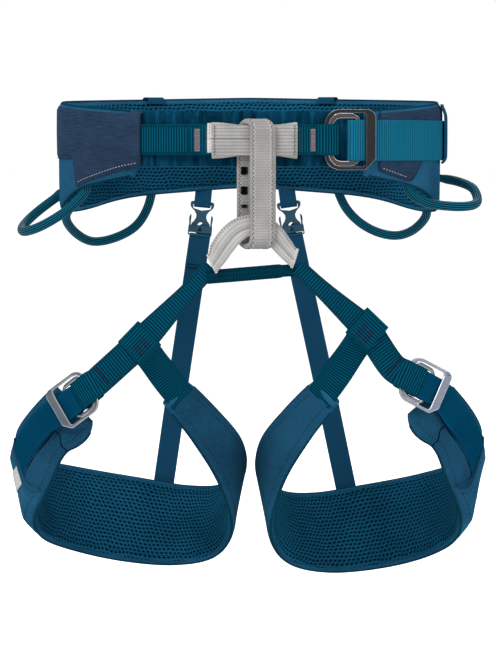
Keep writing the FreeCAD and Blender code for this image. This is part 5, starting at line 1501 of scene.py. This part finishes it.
def bevel_with_edge_material(node, face, edge, width):
    """Rounds a rigid part's edges and gives faces and edges materials of their own; a brighter edge material paints a
    highlight along the rounded edges.
    """
    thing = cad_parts[node]
    thing.data.materials.clear()
    thing.data.materials.append(face)
    thing.data.materials.append(edge)
    thing.modifiers.new("weld", "WELD").merge_threshold = 1e-6
    bevel = thing.modifiers.new("edges", "BEVEL")
    bevel.width = width * MM
    bevel.segments = 3
    bevel.limit_method = "ANGLE"
    bevel.angle_limit = math.radians(35)
    bevel.material = 1
    bevel.harden_normals = False


# the buckles' edge materials are brighter than their faces: painted highlights along the rounded edges; the clips use
# one plastic for both
bevel_with_edge_material("waist_buckle_frame", BLACK_METAL, DIM_EDGE, 0.35)
bevel_with_edge_material("waist_buckle_ring", GREY_METAL, BRIGHT_EDGE, 0.45)
for side in ("right", "left"):
    bevel_with_edge_material(f"{side}_leg_buckle_frame", SILVER, FRAME_EDGE_HIGHLIGHT, 0.85)
    bevel_with_edge_material(f"{side}_leg_buckle_ring", SILVER, POLISH_AND_EDGE_HIGHLIGHT, 0.95)
    bevel_with_edge_material(f"{side}_clip_male", PLASTIC, PLASTIC, 0.45)
    bevel_with_edge_material(f"{side}_clip_female", PLASTIC, PLASTIC, 0.5)

# ------------------------------------------------------------------ stage, light and camera

FLOOR_DROP, FLOOR_HALF = 0.10, 30
TARGET = Vector((0, 0, -0.15))


def stage():
    low, far = cad_box[0][2] - FLOOR_DROP, FLOOR_HALF
    mesh = bpy.data.meshes.new("floor")
    mesh.from_pydata([(-far, -far, low), (far, -far, low), (far, far, low), (-far, far, low)], [], [(0, 1, 2, 3)])
    floor = bpy.data.objects.new("floor", mesh)
    bpy.context.scene.collection.objects.link(floor)
    pale = bpy.data.materials.new("floor_white")
    pale.use_nodes = True
    shader = pale.node_tree.nodes["Principled BSDF"]
    shader.inputs["Base Color"].default_value = (0.8, 0.8, 0.8, 1)
    shader.inputs["Roughness"].default_value = 0.9
    shader.inputs["Emission Color"].default_value = (1, 1, 1, 1)
    shader.inputs["Emission Strength"].default_value = 0.28
    mesh.materials.append(pale)
    world = bpy.data.worlds.new("studio")
    bpy.context.scene.world = world
    world.use_nodes = True
    background = world.node_tree.nodes["Background"]
    background.inputs["Color"].default_value = (1, 1, 1, 1)
    background.inputs["Strength"].default_value = 1.0


def place(thing, location, target):
    """Puts a light or the camera where it looks at its target."""
    thing.location = location
    thing.rotation_euler = (target - thing.location).to_track_quat("-Z", "Y").to_euler()
    bpy.context.scene.collection.objects.link(thing)


def area_light(name, location, size, power):
    light = bpy.data.lights.new(name, "AREA")
    light.shape = "RECTANGLE"
    light.size, light.size_y = size
    light.energy = power
    place(bpy.data.objects.new(name, light), location, TARGET)


stage()
area_light("key", (-1.0, -1.6, 1.5), (1.4, 1.0), 62)
area_light("fill", (1.6, -1.4, 0.4), (1.2, 1.2), 20)
area_light("rim", (0.2, 1.8, 1.3), (1.4, 0.8), 30)
camera = bpy.data.objects.new("camera", bpy.data.cameras.new("camera"))
camera.data.sensor_fit = "VERTICAL"
camera.data.sensor_height = 36
camera.data.lens = 142.3
place(camera, (-0.0013, -2.1946, -0.0065), Vector((-0.0013, 0, -0.16)))
bpy.context.scene.camera = camera
bpy.context.scene.view_settings.view_transform = "Standard"
